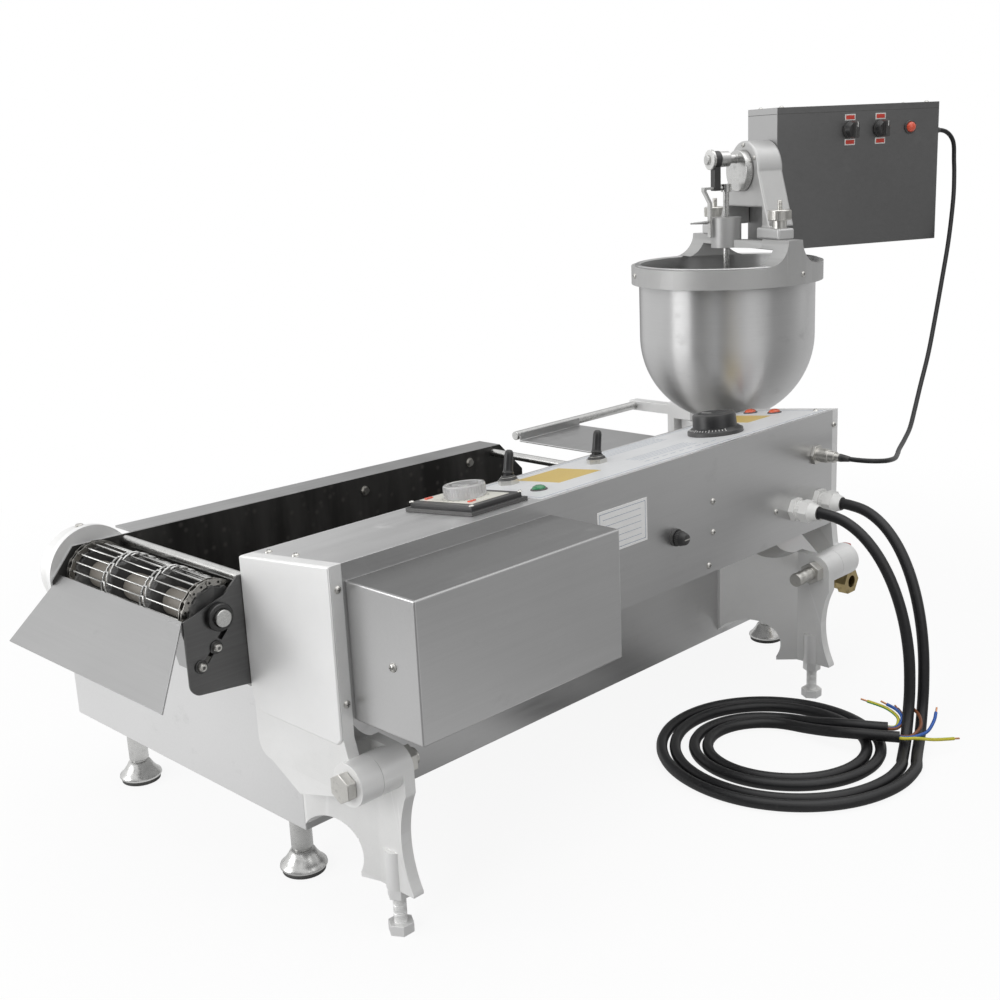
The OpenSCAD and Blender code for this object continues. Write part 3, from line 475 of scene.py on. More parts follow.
@dataclass(frozen=True)
class Moulded(Finish):
    """Moulded plastic or rubber: fine texture, dust and rubbed edges."""

    name: str
    colour: Point
    rough: float = 0.4
    dust: float = 0.12
    texture: float = 0.08
    coat: float = 0.0

    def build(self, net: Net) -> None:
        """Mould texture, dust in patches and a lighter edge.

        Args:
            net: The material's empty net.
        """
        spark = net.noise(net.place(), 1400.0, 2.0)
        cloud = net.noise(net.place(), 38.0, 4.0, 0.6)
        light = tuple(min(1.0, c * 1.25 + 0.012) for c in self.colour)
        colour = net.blend(((cloud - 0.5) * 1.2 + 0.5).limited(), times(self.colour, 0.88), light)
        haze = cloud.step(0.5, 0.8) * self.dust + net.edges(0.51, 0.58) * 0.10
        colour = net.blend(haze, colour, (0.55, 0.54, 0.52))
        roughness = (spark - 0.5) * 0.16 + cloud * 0.12 + self.rough - 0.06
        normal = net.bump(spark, self.texture)
        net.surface(colour, roughness.limited(), normal, {"Coat Weight": self.coat})


@dataclass(frozen=True)
class Jacket(Finish):
    """Jacket of a cord or core: matt, with a fine lengthwise draw line and dust."""

    name: str
    colour: Point
    stripe: Point | None = None

    def build(self, net: Net) -> None:
        """Reads the tube's own UV: U runs round, V along in metres.

        Args:
            net: The material's empty net.
        """
        draw = net.noise(net.place((60.0, 5.0, 1.0), uv=True), 1.0, 2.0)
        cloud = net.noise(net.place(), 30.0, 4.0, 0.6)
        dust = net.noise(net.place(), 260.0, 3.0).step(0.55, 0.8)
        colour = net.blend(cloud, times(self.colour, 0.75), times(self.colour, 1.35))
        if self.stripe:
            round_it = net.axis("X", net.place(uv=True)) * (2.0 * pi)
            colour = net.blend(net.math("SINE", round_it).step(-0.1, 0.1), colour, self.stripe)
        colour = net.blend(dust * 0.03, colour, (0.4, 0.39, 0.37))
        roughness = (draw - 0.5) * 0.2 + 0.42 + dust * 0.1
        net.surface(colour, roughness, net.bump(draw * 0.6 + cloud * 0.4, 0.12))


@dataclass(frozen=True)
class Lens(Finish):
    """Coloured lamp lens: deep colour with a faint swirl, glossy."""

    name: str
    colour: Point

    def build(self, net: Net) -> None:
        """Swirl and fine scratches in a glossy lens.

        Args:
            net: The material's empty net.
        """
        swirl = net.noise(net.place(), 190.0, 3.0)
        scratch = net.noise(net.place((1200.0, 90.0, 1200.0)), 1.0, 2.0)
        colour = net.blend(swirl, times(self.colour, 0.7), times(self.colour, 1.35, 1.0))
        net.surface(colour, scratch * 0.2 + 0.08, net.bump(swirl, 0.1), {"Coat Weight": 0.6})


@dataclass(frozen=True)
class ClearPlastic(Finish):
    """Clear moulded plastic, hazed by handling."""

    name: str
    tint: float

    def build(self, net: Net) -> None:
        """Haze and rubbed patches in a clear body.

        Args:
            net: The material's empty net.
        """
        rub = net.noise(net.place(), 240.0, 4.0, 0.6)
        colour = net.blend(rub, grey(self.tint * 0.94), grey(self.tint))
        rest = {"IOR": 1.46, "Transmission Weight": 0.72}
        net.surface(colour, rub * 0.2 + 0.06, net.bump(rub, 0.06), rest)


@dataclass(frozen=True)
class Printed(Finish):
    """Printed vinyl or foil with a faint orange-peel surface."""

    name: str
    colour: Point
    rough: float = 0.32

    def build(self, net: Net) -> None:
        """Peel, faint stains and rubbed ink.

        Args:
            net: The material's empty net.
        """
        peel = net.noise(net.place(), 520.0, 2.0)
        stain = net.noise(net.place(), 24.0, 5.0, 0.65).step(0.5, 0.8)
        rub = net.noise(net.place((40.0, 160.0, 160.0)), 1.0, 5.0, 0.7)
        colour = net.blend(rub, times(self.colour, 0.94), times(self.colour, 1.04, 1.0))
        colour = net.blend(stain * 0.12, colour, times(self.colour, 0.7))
        net.surface(colour, (peel - 0.5) * 0.15 + self.rough + stain * 0.1, net.bump(peel, 0.05, 0.0003))


BOX_END = tuple(HOPPER.to_3x3() @ Vector(FORWARD))

SHEET = BrushedSheet("sheet_brushed", 0.58)
# Painted light: faces that look forward, the tank's end face, are made lighter.
TANK_SHEET = BrushedSheet("tank_sheet", 0.58, way=FORWARD, painted_light_gain=1.3)
SHEET_SIDE = BrushedSheet("sheet_brushed_across", 0.44, Grain.ALONG_Y)
# Painted light: the control cover's top is made lighter, and the motor cover's top darker.
COVER_SHEET = BrushedSheet("cover_sheet", 0.60, Grain.ALONG_X, 0.36, 0.14, painted_light_gain=1.35)
MOTOR_SHEET = BrushedSheet("motor_cover_sheet", 0.62, Grain.ALONG_X, 0.36, 0.14, painted_light_gain=0.5)
PAN_SHEET = BrushedSheet("pan_sheet", 0.42, Grain.ALONG_X, 0.30, 0.2, 0.03)
BOWL_SHEET = BrushedSheet("bowl_polished", 0.60, Grain.AROUND_Z, 0.40, 0.06, 0.0, 0.95)
# Painted light: the motor box's end face is made much lighter.
BOX_SHEET = BrushedSheet("motor_box_sheet", 0.22, Grain.ALONG_X, 0.38, 0.12, way=BOX_END, painted_light_gain=2.2)
FAR_SHEET = OiledSheet("far_plate_oiled", 0.5, 0.05, -1.0)
# Painted reflection: the near plate's outside steel is darkened to stand in for the dark that it
# reflects.
NEAR_SHEET = OiledSheet("near_plate_oiled", 0.15, 0.06, 1.0)
CAST = CastMetal("cast_aluminium")
CAST_BRIGHT = CastMetal("cast_aluminium_bright", 0.84, 0.42, 0.3)
CAST_RING = CastMetal("cast_aluminium_ring", 0.46, 0.44, 0.3)
CAST_GEAR = CastMetal("cast_aluminium_gear", 0.55, 0.40, 0.3)
STEEL = TurnedMetal("turned_steel", (0.62, 0.62, 0.61))
ZINC = TurnedMetal("zinc_plated", (0.66, 0.65, 0.62), 0.3)
WIRE_STEEL = TurnedMetal("belt_wire", (0.56, 0.56, 0.55), 0.24, 0.45)
BLACK_STEEL = TurnedMetal("blackened_steel", (0.09, 0.09, 0.09), 0.38, 0.3)
CHAIN_STEEL = TurnedMetal("chain_steel", (0.36, 0.35, 0.33), 0.28, 0.5)
BRASS = TurnedMetal("valve_brass", (0.42, 0.33, 0.16), 0.36, 0.6)
COPPER = TurnedMetal("copper_strand", (0.72, 0.36, 0.2), 0.3, 0.1)
BLACK_PLASTIC = Moulded("black_plastic", (0.012, 0.012, 0.013), 0.36, 0.02)
SPROCKET_BLACK = Moulded("sprocket_black", (0.03, 0.03, 0.03), 0.5, 0.2)
BOOT_RUBBER = Moulded("boot_rubber", (0.007, 0.007, 0.008), 0.34, 0.03, 0.08)
SPACER_TAN = Moulded("spacer_nylon", (0.18, 0.162, 0.138), 0.42, 0.06)
FOOT_RUBBER = Moulded("foot_rubber", (0.03, 0.03, 0.03), 0.7, 0.25, 0.2)
IVORY = Moulded("ivory_plastic", (0.80, 0.78, 0.70), 0.3, 0.05, 0.04, 0.2)
WHITE_PLASTIC = Moulded("white_nylon", (0.80, 0.80, 0.78), 0.42, 0.06)
RED_VINYL = Moulded("red_vinyl", (0.42, 0.025, 0.02), 0.36, 0.08, 0.06, 0.2)
# Dark used as painted shade in screw recesses and hex sockets; also the dial ticks' print and the lid
# seam's dark joint.
SLOT_DARK = Moulded("slot_shadow", (0.03, 0.03, 0.03), 0.6, 0.05)
CLEAR = ClearPlastic("clear_plastic", 0.94)
CORD_BLACK = Jacket("cord_black", (0.009, 0.009, 0.010))
CORE_BROWN = Jacket("core_brown", (0.20, 0.07, 0.03))
CORE_BLUE = Jacket("core_blue", (0.03, 0.11, 0.42))
CORE_EARTH = Jacket("core_earth", (0.05, 0.42, 0.12), (0.62, 0.56, 0.05))
GREEN_LENS = Lens("green_lens", (0.01, 0.20, 0.07))
ORANGE_LENS = Lens("orange_lens", (0.62, 0.08, 0.02))
RED_LENS = Lens("red_lens", (0.72, 0.10, 0.05))
VINYL = Printed("panel_vinyl", (0.80, 0.81, 0.82))
VINYL_LINE = Printed("panel_line", (0.30, 0.36, 0.46))
VINYL_YELLOW = Printed("panel_yellow", (0.72, 0.52, 0.14))
FOIL = Printed("plate_foil", (0.97, 0.97, 0.96))
TICK_WHITE = Printed("tick_white", (0.78, 0.78, 0.76), 0.4)
TICK_RED = Printed("tick_red", (0.60, 0.06, 0.04), 0.4)


# Meshes

CREASE = 38.0
WELD = 2e-6
FLAT = radians(1.0)


def shade(mesh: Mesh, angle: float) -> None:
    """Smooths a mesh, with creases where faces meet at more than an angle in degrees."""
    mesh.shade_smooth()
    mesh.set_sharp_from_angle(angle=radians(angle))


def linked(name: str, mesh: Mesh) -> Object:
    """A new object of the scene.

    Args:
        name: Name of the object.
        mesh: Its mesh, camera or light.

    Returns:
        The object.
    """
    made = bpy.data.objects.new(name, mesh)
    bpy.context.scene.collection.objects.link(made)
    return made


def bake(piece: Object) -> None:
    """Replaces an object's mesh by its evaluated one and removes its modifiers.

    Args:
        piece: The object, in the scene.
    """
    bpy.context.view_layer.update()
    graph = bpy.context.evaluated_depsgraph_get()
    mesh = bpy.data.meshes.new_from_object(piece.evaluated_get(graph))
    old = piece.data
    piece.modifiers.clear()
    piece.data = mesh
    mesh.name = piece.name
    bpy.data.meshes.remove(old)


def round_edges(piece: Object, width: float, segments: int = 2) -> None:
    """Rounds an object's sharp edges by a width in millimetres, and weights its normals.

    Args:
        piece: The object, in the scene.
        width: Width of a rounded edge.
        segments: Steps of a rounded edge.
    """
    bevel = piece.modifiers.new("edge", "BEVEL")
    bevel.width = width * MM
    bevel.segments = segments
    bevel.limit_method = "ANGLE"
    bevel.angle_limit = radians(CREASE)
    bevel.use_clamp_overlap = True
    even = piece.modifiers.new("even", "WEIGHTED_NORMAL")
    even.keep_sharp = True
    bake(piece)


def stand(
    piece: Object,
    finish: Finish,
    body: str | None,
    nodes: Sequence[str] = (),
) -> Object:
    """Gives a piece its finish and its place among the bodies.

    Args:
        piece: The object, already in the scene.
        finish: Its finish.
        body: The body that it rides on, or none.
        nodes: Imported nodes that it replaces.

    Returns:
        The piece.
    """
    piece.data.materials.clear()
    piece.data.materials.append(finish.material())
    if body:
        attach(piece, body)
    if nodes:
        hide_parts(*nodes)
    LOG.info("%s on %s", piece.name, body)
    return piece


class Form:
    """A mesh in the making: parts are added in millimetres of a local frame."""

    def __init__(self, base: Matrix = MACHINE) -> None:
        """Starts an empty form in a frame."""
        self.base = base
        self.work = bmesh.new()

    def _put(self, points: Iterable[Sequence[float]], base: Matrix = WORLD) -> list[bmesh.types.BMVert]:
        """Adds vertices of a frame within the form's own."""
        spot = self.base @ base
        return [self.work.verts.new(spot @ Vector(p)) for p in points]

    def box(self, low: Point, high: Point, base: Matrix = WORLD) -> "Form":
        """Adds a box between two corners."""
        (x0, y0, z0), (x1, y1, z1) = low, high
        return self.prism([(x0, y0), (x1, y0), (x1, y1), (x0, y1)], z0, z1, base)

    def ring(self, count: int, low: Point, high: Point, base: Matrix = WORLD) -> "Form":
        """Adds boxes spaced evenly round Z; the corners are those of the first one.

        Args:
            count: How many boxes.
            low: Lower corner of the first one.
            high: Its upper corner.
            base: Frame within the form's own.

        Returns:
            The form.
        """
        for k in range(count):
            self.box(low, high, base @ spun(360.0 * k / count))
        return self

    def prism(self, outline: Sequence[Pair], low: float, high: float, base: Matrix = WORLD) -> "Form":
        """Adds an outline of X and Y raised along Z.

        Args:
            outline: Corners in order.
            low: Height of the lower end.
            high: Height of the upper end.
            base: Frame within the form's own.

        Returns:
            The form.
        """
        bottom = self._put([(x, y, low) for x, y in outline], base)
        top = self._put([(x, y, high) for x, y in outline], base)
        count = len(outline)
        self.work.faces.new(reversed(bottom))
        self.work.faces.new(top)
        for i in range(count):
            j = (i + 1) % count
            self.work.faces.new((bottom[i], bottom[j], top[j], top[i]))
        return self

    def lathe(self, profile: Sequence[Pair], count: int = 48, base: Matrix = WORLD) -> "Form":
        """Adds a profile of radius and height, turned about Z; radius 0 closes it.

        Args:
            profile: Radius and height of each corner.
            count: Sides of the round.
            base: Frame within the form's own.

        Returns:
            The form.
        """
        spin = [2 * pi * k / count for k in range(count)]
        rings = []
        for radius, height in profile:
            if radius < 1e-6:
                rings.append(self._put([(0, 0, height)], base))
            else:
                circle = [(*polar(radius, a), height) for a in spin]
                rings.append(self._put(circle, base))
        for lower, upper in zip(rings, rings[1:]):
            for k in range(count):
                j = (k + 1) % count
                pairs = ((lower, k), (lower, j), (upper, j), (upper, k))
                unique = list(dict.fromkeys(ring[i % len(ring)] for ring, i in pairs))
                if len(unique) > 2:
                    self.work.faces.new(unique)
        return self

    def hexagon(self, across: float, low: float, high: float, base: Matrix = WORLD) -> "Form":
        """Adds a hexagon of a width across its flats."""
        corners = [polar(across / sqrt(3.0), k * pi / 3) for k in range(6)]
        return self.prism(corners, low, high, base)

    def tube(self, path: Sequence[Vector], radius: float, sides: int = 12) -> "Form":
        """Adds a round tube along a path, with a UV map: U round it, V along it in metres.

        Args:
            path: Points of the middle line.
            radius: Radius of the tube.
            sides: Sides of the round.

        Returns:
            The form.
        """
        spin = [2 * pi * k / sides for k in range(sides)]
        last = len(path) - 1
        side = Vector(UPWARD)
        rings = []
        for i, point in enumerate(path):
            along = (path[min(i + 1, last)] - path[max(i - 1, 0)]).normalized()
            if abs(side.dot(along)) < 0.999:
                side = (side - along * side.dot(along)).normalized()
            else:
                side = along.orthogonal()
            other = along.cross(side)
            circle = [point + radius * (cos(a) * side + sin(a) * other) for a in spin]
            rings.append(self._put(circle))
        layer = self.work.loops.layers.uv.verify()
        start = 0.0
        for i in range(last):
            end = start + (path[i + 1] - path[i]).length * MM
            for k in range(sides):
                j = (k + 1) % sides
                face = self.work.faces.new((rings[i][k], rings[i][j], rings[i + 1][j], rings[i + 1][k]))
                corners = ((k, start), (k + 1, start), (k + 1, end), (k, end))
                for loop, (turn, place) in zip(face.loops, corners):
                    loop[layer].uv = (turn / sides, place)
            start = end
        self.work.faces.new(reversed(rings[0]))
        self.work.faces.new(rings[-1])
        return self

    def mesh(self, name: str, angle: float) -> Mesh:
        """Ends the form as a mesh in metres, creased at an angle in degrees.

        Args:
            name: Name of the mesh.
            angle: Crease angle in degrees.

        Returns:
            The mesh.
        """
        bmesh.ops.recalc_face_normals(self.work, faces=self.work.faces)
        bmesh.ops.scale(self.work, vec=(MM, MM, MM), verts=self.work.verts)
        mesh = bpy.data.meshes.new(name)
        self.work.to_mesh(mesh)
        self.work.free()
        shade(mesh, angle)
        return mesh

    def piece(
        self,
        name: str,
        finish: Finish,
        body: str | None,
        edge: float = 0.0,
        nodes: Sequence[str] = (),
        angle: float = 35.0,
        slot: str | None = None,
    ) -> Object:
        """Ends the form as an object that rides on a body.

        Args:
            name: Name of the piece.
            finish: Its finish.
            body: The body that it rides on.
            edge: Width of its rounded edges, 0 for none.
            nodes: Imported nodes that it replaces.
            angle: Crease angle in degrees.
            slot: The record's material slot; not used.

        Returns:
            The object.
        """
        made = linked(name, self.mesh(name, angle))
        if edge > 0.0:
            round_edges(made, edge)
        return stand(made, finish, body, nodes)


def body_of(node: str) -> str:
    """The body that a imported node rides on.

    Args:
        node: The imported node.

    Returns:
        The body's name.
    """
    for body, members in frame["record"]["behaviour"]["bodies"].items():
        if node in members:
            return body
    raise KeyError(node)


def dress(node: str, finish: Finish, edge: float, segments: int) -> None:
    """Stands a copy of a node with rounded edges in the node's place.

    Args:
        node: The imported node.
        finish: Its finish.
        edge: Width of the rounded edges in millimetres.
        segments: Steps of a rounded edge.
    """
    mesh = frame["nodes"][node].data.copy()
    work = bmesh.new()
    work.from_mesh(mesh)
    bmesh.ops.remove_doubles(work, verts=work.verts, dist=WELD)
    bmesh.ops.dissolve_limit(work, angle_limit=FLAT, verts=work.verts, edges=work.edges)
    work.to_mesh(mesh)
    work.free()
    if mesh.has_custom_normals:
        with bpy.context.temp_override(object=frame["nodes"][node]):
            mesh.attributes.remove(mesh.attributes["custom_normal"])
    shade(mesh, CREASE)
    made = linked(node + "_dressed", mesh)
    round_edges(made, edge, segments)
    stand(made, finish, body_of(node), [node])


Coat = tuple[Finish, float, int, str]


def dress_all(coats: Iterable[Coat]) -> None:
    """Dresses nodes, from rows of a finish, an edge's width and steps, and the nodes' names.

    Args:
        coats: The rows.
    """
    for finish, edge, segments, nodes in coats:
        for node in nodes.split():
            dress(node, finish, edge, segments)


# Geometry Nodes


class Tree:
    """A Geometry Nodes tree that is run once on a carrier mesh."""

    def __init__(self, name: str, inputs: dict[str, str]) -> None:
        """Makes a tree with a geometry input and output and further inputs of given kinds.

        Args:
            name: Name of the tree.
            inputs: Kinds of the inputs by name.
        """
        self.group = bpy.data.node_groups.new(name, "GeometryNodeTree")
        self.keys: dict[str, str] = {}
        face = self.group.interface
        for title, kind in {"Geometry": "Geometry", **inputs, "Finish": "Material"}.items():
            item = face.new_socket(name=title, in_out="INPUT", socket_type="NodeSocket" + kind)
            self.keys[title] = item.identifier
        face.new_socket(name="Geometry", in_out="OUTPUT", socket_type="NodeSocketGeometry")
        self.inputs = self.group.nodes.new("NodeGroupInput")
        self.outputs = self.group.nodes.new("NodeGroupOutput")

    def add(
        self,
        kind: str,
        sockets: dict[Any, Any],
        settings: dict[str, Any] | None = None,
    ) -> NodeSocket:
        """Adds a node; a socket takes a value, an output socket or the name of an input.

        Args:
            kind: The node's type.
            sockets: What its sockets take.
            settings: Properties that are set first.

        Returns:
            The node's first output.
        """
        node = self.group.nodes.new(kind)
        for key, value in (settings or {}).items():
            setattr(node, key, value)
        for key, value in sockets.items():
            if isinstance(value, NodeSocket):
                self.group.links.new(value, node.inputs[key])
            elif isinstance(value, str) and value in self.keys:
                self.group.links.new(self.inputs.outputs[value], node.inputs[key])
            else:
                node.inputs[key].default_value = value
        return node.outputs[0]

    def vector(self, name: str) -> NodeSocket:
        """A named vector of the carrier's points."""
        return self.add("GeometryNodeInputNamedAttribute", {"Name": name}, {"data_type": "FLOAT_VECTOR"})

    def sweep(self, line: NodeSocket, sides: Any, radius: str) -> NodeSocket:
        """Round bars along lines.

        Args:
            line: The lines.
            sides: Sides of the round, or the input for them.
            radius: The input for the bars' radius.

        Returns:
            The bars.
        """
        ring = self.add("GeometryNodeCurvePrimitiveCircle", {"Resolution": sides, "Radius": radius})
        sockets = {"Curve": line, "Profile Curve": ring, "Fill Caps": True}
        return self.add("GeometryNodeCurveToMesh", sockets)

    def copies(
        self, part: NodeSocket, turn: NodeSocket, size: Any = (1.0, 1.0, 1.0)
    ) -> NodeSocket:
        """A part on each point of the carrier."""
        sockets = {"Points": "Geometry", "Instance": part, "Rotation": turn, "Scale": size}
        return self.add("GeometryNodeInstanceOnPoints", sockets)

    def end(self, geometry: NodeSocket) -> "Tree":
        """Ends the tree: instances made real, finish set.

        Args:
            geometry: What the tree has made.

        Returns:
            The tree.
        """
        real = self.add("GeometryNodeRealizeInstances", {"Geometry": geometry})
        coat = self.add("GeometryNodeSetMaterial", {"Geometry": real, "Material": "Finish"})
        self.group.links.new(coat, self.outputs.inputs[0])
        return self

    def run(
        self,
        name: str,
        carrier: Mesh,
        values: dict[str, Any],
        finish: Finish,
        body: str,
        nodes: Sequence[str] = (),
        angle: float = 40.0,
    ) -> None:
        """Runs the tree on a carrier and keeps the result as a plain mesh.

        Args:
            name: Name of the piece.
            carrier: Points or lines that the tree works on, in metres.
            values: Values of the named inputs.
            finish: The piece's finish.
            body: The body that it rides on.
            nodes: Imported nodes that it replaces.
            angle: Crease angle in degrees.
        """
        made = linked(name, carrier)
        modifier = made.modifiers.new("tree", "NODES")
        modifier.node_group = self.group
        for key, value in {**values, "Finish": finish.material()}.items():
            modifier[self.keys[key]] = value
        bake(made)
        shade(made.data, angle)
        stand(made, finish, body, nodes)


def scatter_tree() -> Tree:
    """Tree that stands a part on each point, along the point's facing and side vectors.

    Returns:
        The tree.
    """
    tree = Tree("scatter_parts", {"Part": "Object", "Size": "Float"})
    info = tree.add("GeometryNodeObjectInfo", {"Object": "Part"}).node
    axes = {0: tree.vector("facing"), 1: tree.vector("side")}
    turn = tree.add("FunctionNodeAxesToRotation", axes, {"primary_axis": "Z", "secondary_axis": "X"})
    return tree.end(tree.copies(info.outputs["Geometry"], turn, "Size"))


def wire_tree() -> Tree:
    """Tree that turns lines into round wire.

    Returns:
        The tree.
    """
    tree = Tree("round_wire", {"Radius": "Float", "Sides": "Int"})
    line = tree.add("GeometryNodeMeshToCurve", {"Mesh": "Geometry"})
    return tree.end(tree.sweep(line, "Sides", "Radius"))


def thread_tree() -> Tree:
    """Tree that winds a thread's ridge on each point, along the point's facing vector.

    Returns:
        The tree.
    """
    tree = Tree("screw_thread", dict.fromkeys(("Radius", "Turns", "Length", "Ridge"), "Float"))
    turns = {"Resolution": 16, "Rotations": "Turns", "Height": "Length"}
    radii = dict.fromkeys(("Start Radius", "End Radius"), "Radius")
    helix = tree.add("GeometryNodeCurveSpiral", {**turns, **radii})
    turn = tree.add("FunctionNodeAlignRotationToVector", {"Vector": tree.vector("facing")}, {"axis": "Z"})
    return tree.end(tree.copies(tree.sweep(helix, 4, "Ridge"), turn))


def points_mesh(frames: Sequence[Matrix]) -> Mesh:
    """A carrier of one point for each frame, with the frame's Z as facing and X as side.

    Args:
        frames: The frames, in millimetres.

    Returns:
        The carrier.
    """
    mesh = bpy.data.meshes.new("carrier")
    mesh.from_pydata([tuple(f.translation * MM) for f in frames], [], [])
    for name, column in (("facing", 2), ("side", 0)):
        layer = mesh.attributes.new(name, "FLOAT_VECTOR", "POINT")
        for item, f in zip(layer.data, frames):
            item.vector = f.col[column].to_3d().normalized()
    return mesh


def lines_mesh(paths: Sequence[Sequence[Point]]) -> Mesh:
    """A carrier of open lines along paths of the machine.

    Args:
        paths: The lines' points, in millimetres.

    Returns:
        The carrier.
    """
    places: list[Point] = []
    edges: list[tuple[int, int]] = []
    for path in paths:
        start = len(places)
        places.extend(row(p) for p in path)
        edges.extend((start + i, start + i + 1) for i in range(len(path) - 1))
    mesh = bpy.data.meshes.new("carrier")
    mesh.from_pydata(places, edges, [])
    return mesh


def template(name: str, form: Form) -> Object:
    """A part that a tree repeats: a loose object outside the scene, in metres."""
    return bpy.data.objects.new(name, form.mesh(name, 40.0))


class Fasteners:
    """Screws, threads and wire that the sub-assemblies ask for.

    Heads are drawn for a screw of radius 1.
    """

    dome: Profile = (
        (0, 0.62), (0.34, 0.60), (0.66, 0.5), (0.88, 0.32), (1, 0.12), (1, 0), (0, 0)
    )
    washer: Profile = ((0, 0), (1.25, 0), (1.25, 0.18), (0, 0.18))
    recess: Point = (0.52, 0.1, 0.63)
    recess_low: float = 0.5
    hex_across: float = 1.75
    hex_high: float = 0.75
    ridge: float = 0.36

    def __init__(self) -> None:
        """Makes the trees and the screws' heads."""
        self.scatter = scatter_tree()
        self.thread = thread_tree()
        self.wire = wire_tree()
        self.head = template("screw_head", Form(WORLD).lathe(self.dome, 20))
        # Painted shade: the recess is a dark cross laid on the head, not cut into it.
        long, wide, top = self.recess
        cross = Form(WORLD)
        for x, y in ((long, wide), (wide, long)):
            cross.box((-x, -y, self.recess_low), (x, y, top))
        self.cross = template("screw_cross", cross)
        hexagon = Form(WORLD).hexagon(self.hex_across, 0.0, self.hex_high)
        self.hex_head = template("hex_head", hexagon.lathe(self.washer, 24))

    def screws(self, name: str, frames: Sequence[Matrix], radius: float, body: str) -> None:
        """Cross-head screws of one radius on one body.

        Args:
            name: Name of the piece.
            frames: Where they stand, with Z outwards.
            radius: Radius of a head.
            body: The body that it rides on.
        """
        self.scatter.run(name, points_mesh(frames), {"Part": self.head, "Size": radius}, ZINC, body)
        # Painted shade: a dark cross on each head stands in for the recess.
        cross = {"Part": self.cross, "Size": radius}
        self.scatter.run(name + "_recess", points_mesh(frames), cross, SLOT_DARK, body, angle=20.0)

    def hexes(self, name: str, frames: Sequence[Matrix], radius: float, body: str) -> None:
        """Hexagon-head screws with washers."""
        values = {"Part": self.hex_head, "Size": radius}
        self.scatter.run(name, points_mesh(frames), values, ZINC, body, angle=25.0)

    def threads(
        self, name: str, frames: Sequence[Matrix], size: Point, finish: Finish, body: str
    ) -> None:
        """Thread ridges of one radius, length and pitch.

        Args:
            name: Name of the piece.
            frames: Where they stand, with Z outwards.
            size: Radius, length and pitch.
            finish: The piece's finish.
            body: The body that it rides on.
        """
        radius, length, pitch = size
        values = {"Radius": radius * MM, "Turns": length / pitch, "Length": length * MM}
        values["Ridge"] = pitch * self.ridge * MM
        self.thread.run(name, points_mesh(frames), values, finish, body)


# Cords

BEND_STEP = 22.0


def smooth_path(points: Sequence[Sequence[float]], spacing: float) -> list[Vector]:
    """A smooth curve through points, sampled about a spacing apart.

    Args:
        points: Points that the curve passes through.
        spacing: Distance between samples.

    Returns:
        Points of the curve.
    """
    p = [Vector(q) for q in points]
    out = [p[0]]
    for i in range(len(p) - 1):
        before, after = p[max(i - 1, 0)], p[min(i + 2, len(p) - 1)]
        linear = p[i + 1] - before
        square = 2 * before - 5 * p[i] + 4 * p[i + 1] - after
        cube = 3 * p[i] - before - 3 * p[i + 1] + after
        steps = max(1, round((p[i + 1] - p[i]).length / spacing))
        for k in range(1, steps + 1):
            t = k / steps
            out.append(0.5 * (2 * p[i] + linear * t + square * t * t + cube * t ** 3))
    return out


def round_bend(
    start: Sequence[float], ahead: Point, side: Point, radius: float, turn: float
) -> list[Point]:
    """Points of a bend that leaves start one way and turns towards another, square to it.

    Args:
        start: Where the bend begins.
        ahead: The way that it leaves.
        side: The way that it turns to.
        radius: Radius of the bend.
        turn: How far it turns, in degrees.

    Returns:
        The bend's points.
    """
    first, second = Vector(ahead).normalized(), Vector(side).normalized()
    steps = max(2, round(turn / BEND_STEP))
    points = []
    for k in range(steps + 1):
        angle = radians(turn * k / steps)
        way = sin(angle) * first + (1.0 - cos(angle)) * second
        points.append(tuple(Vector(start) + radius * way))
    return points


def travel(path: Sequence[Vector]) -> float:
    """Length of a path."""
    return sum((b - a).length for a, b in zip(path, path[1:]))


def row(point: Sequence[float]) -> Point:
    """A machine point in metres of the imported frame."""
    return tuple((MACHINE @ Vector(point)) * MM)


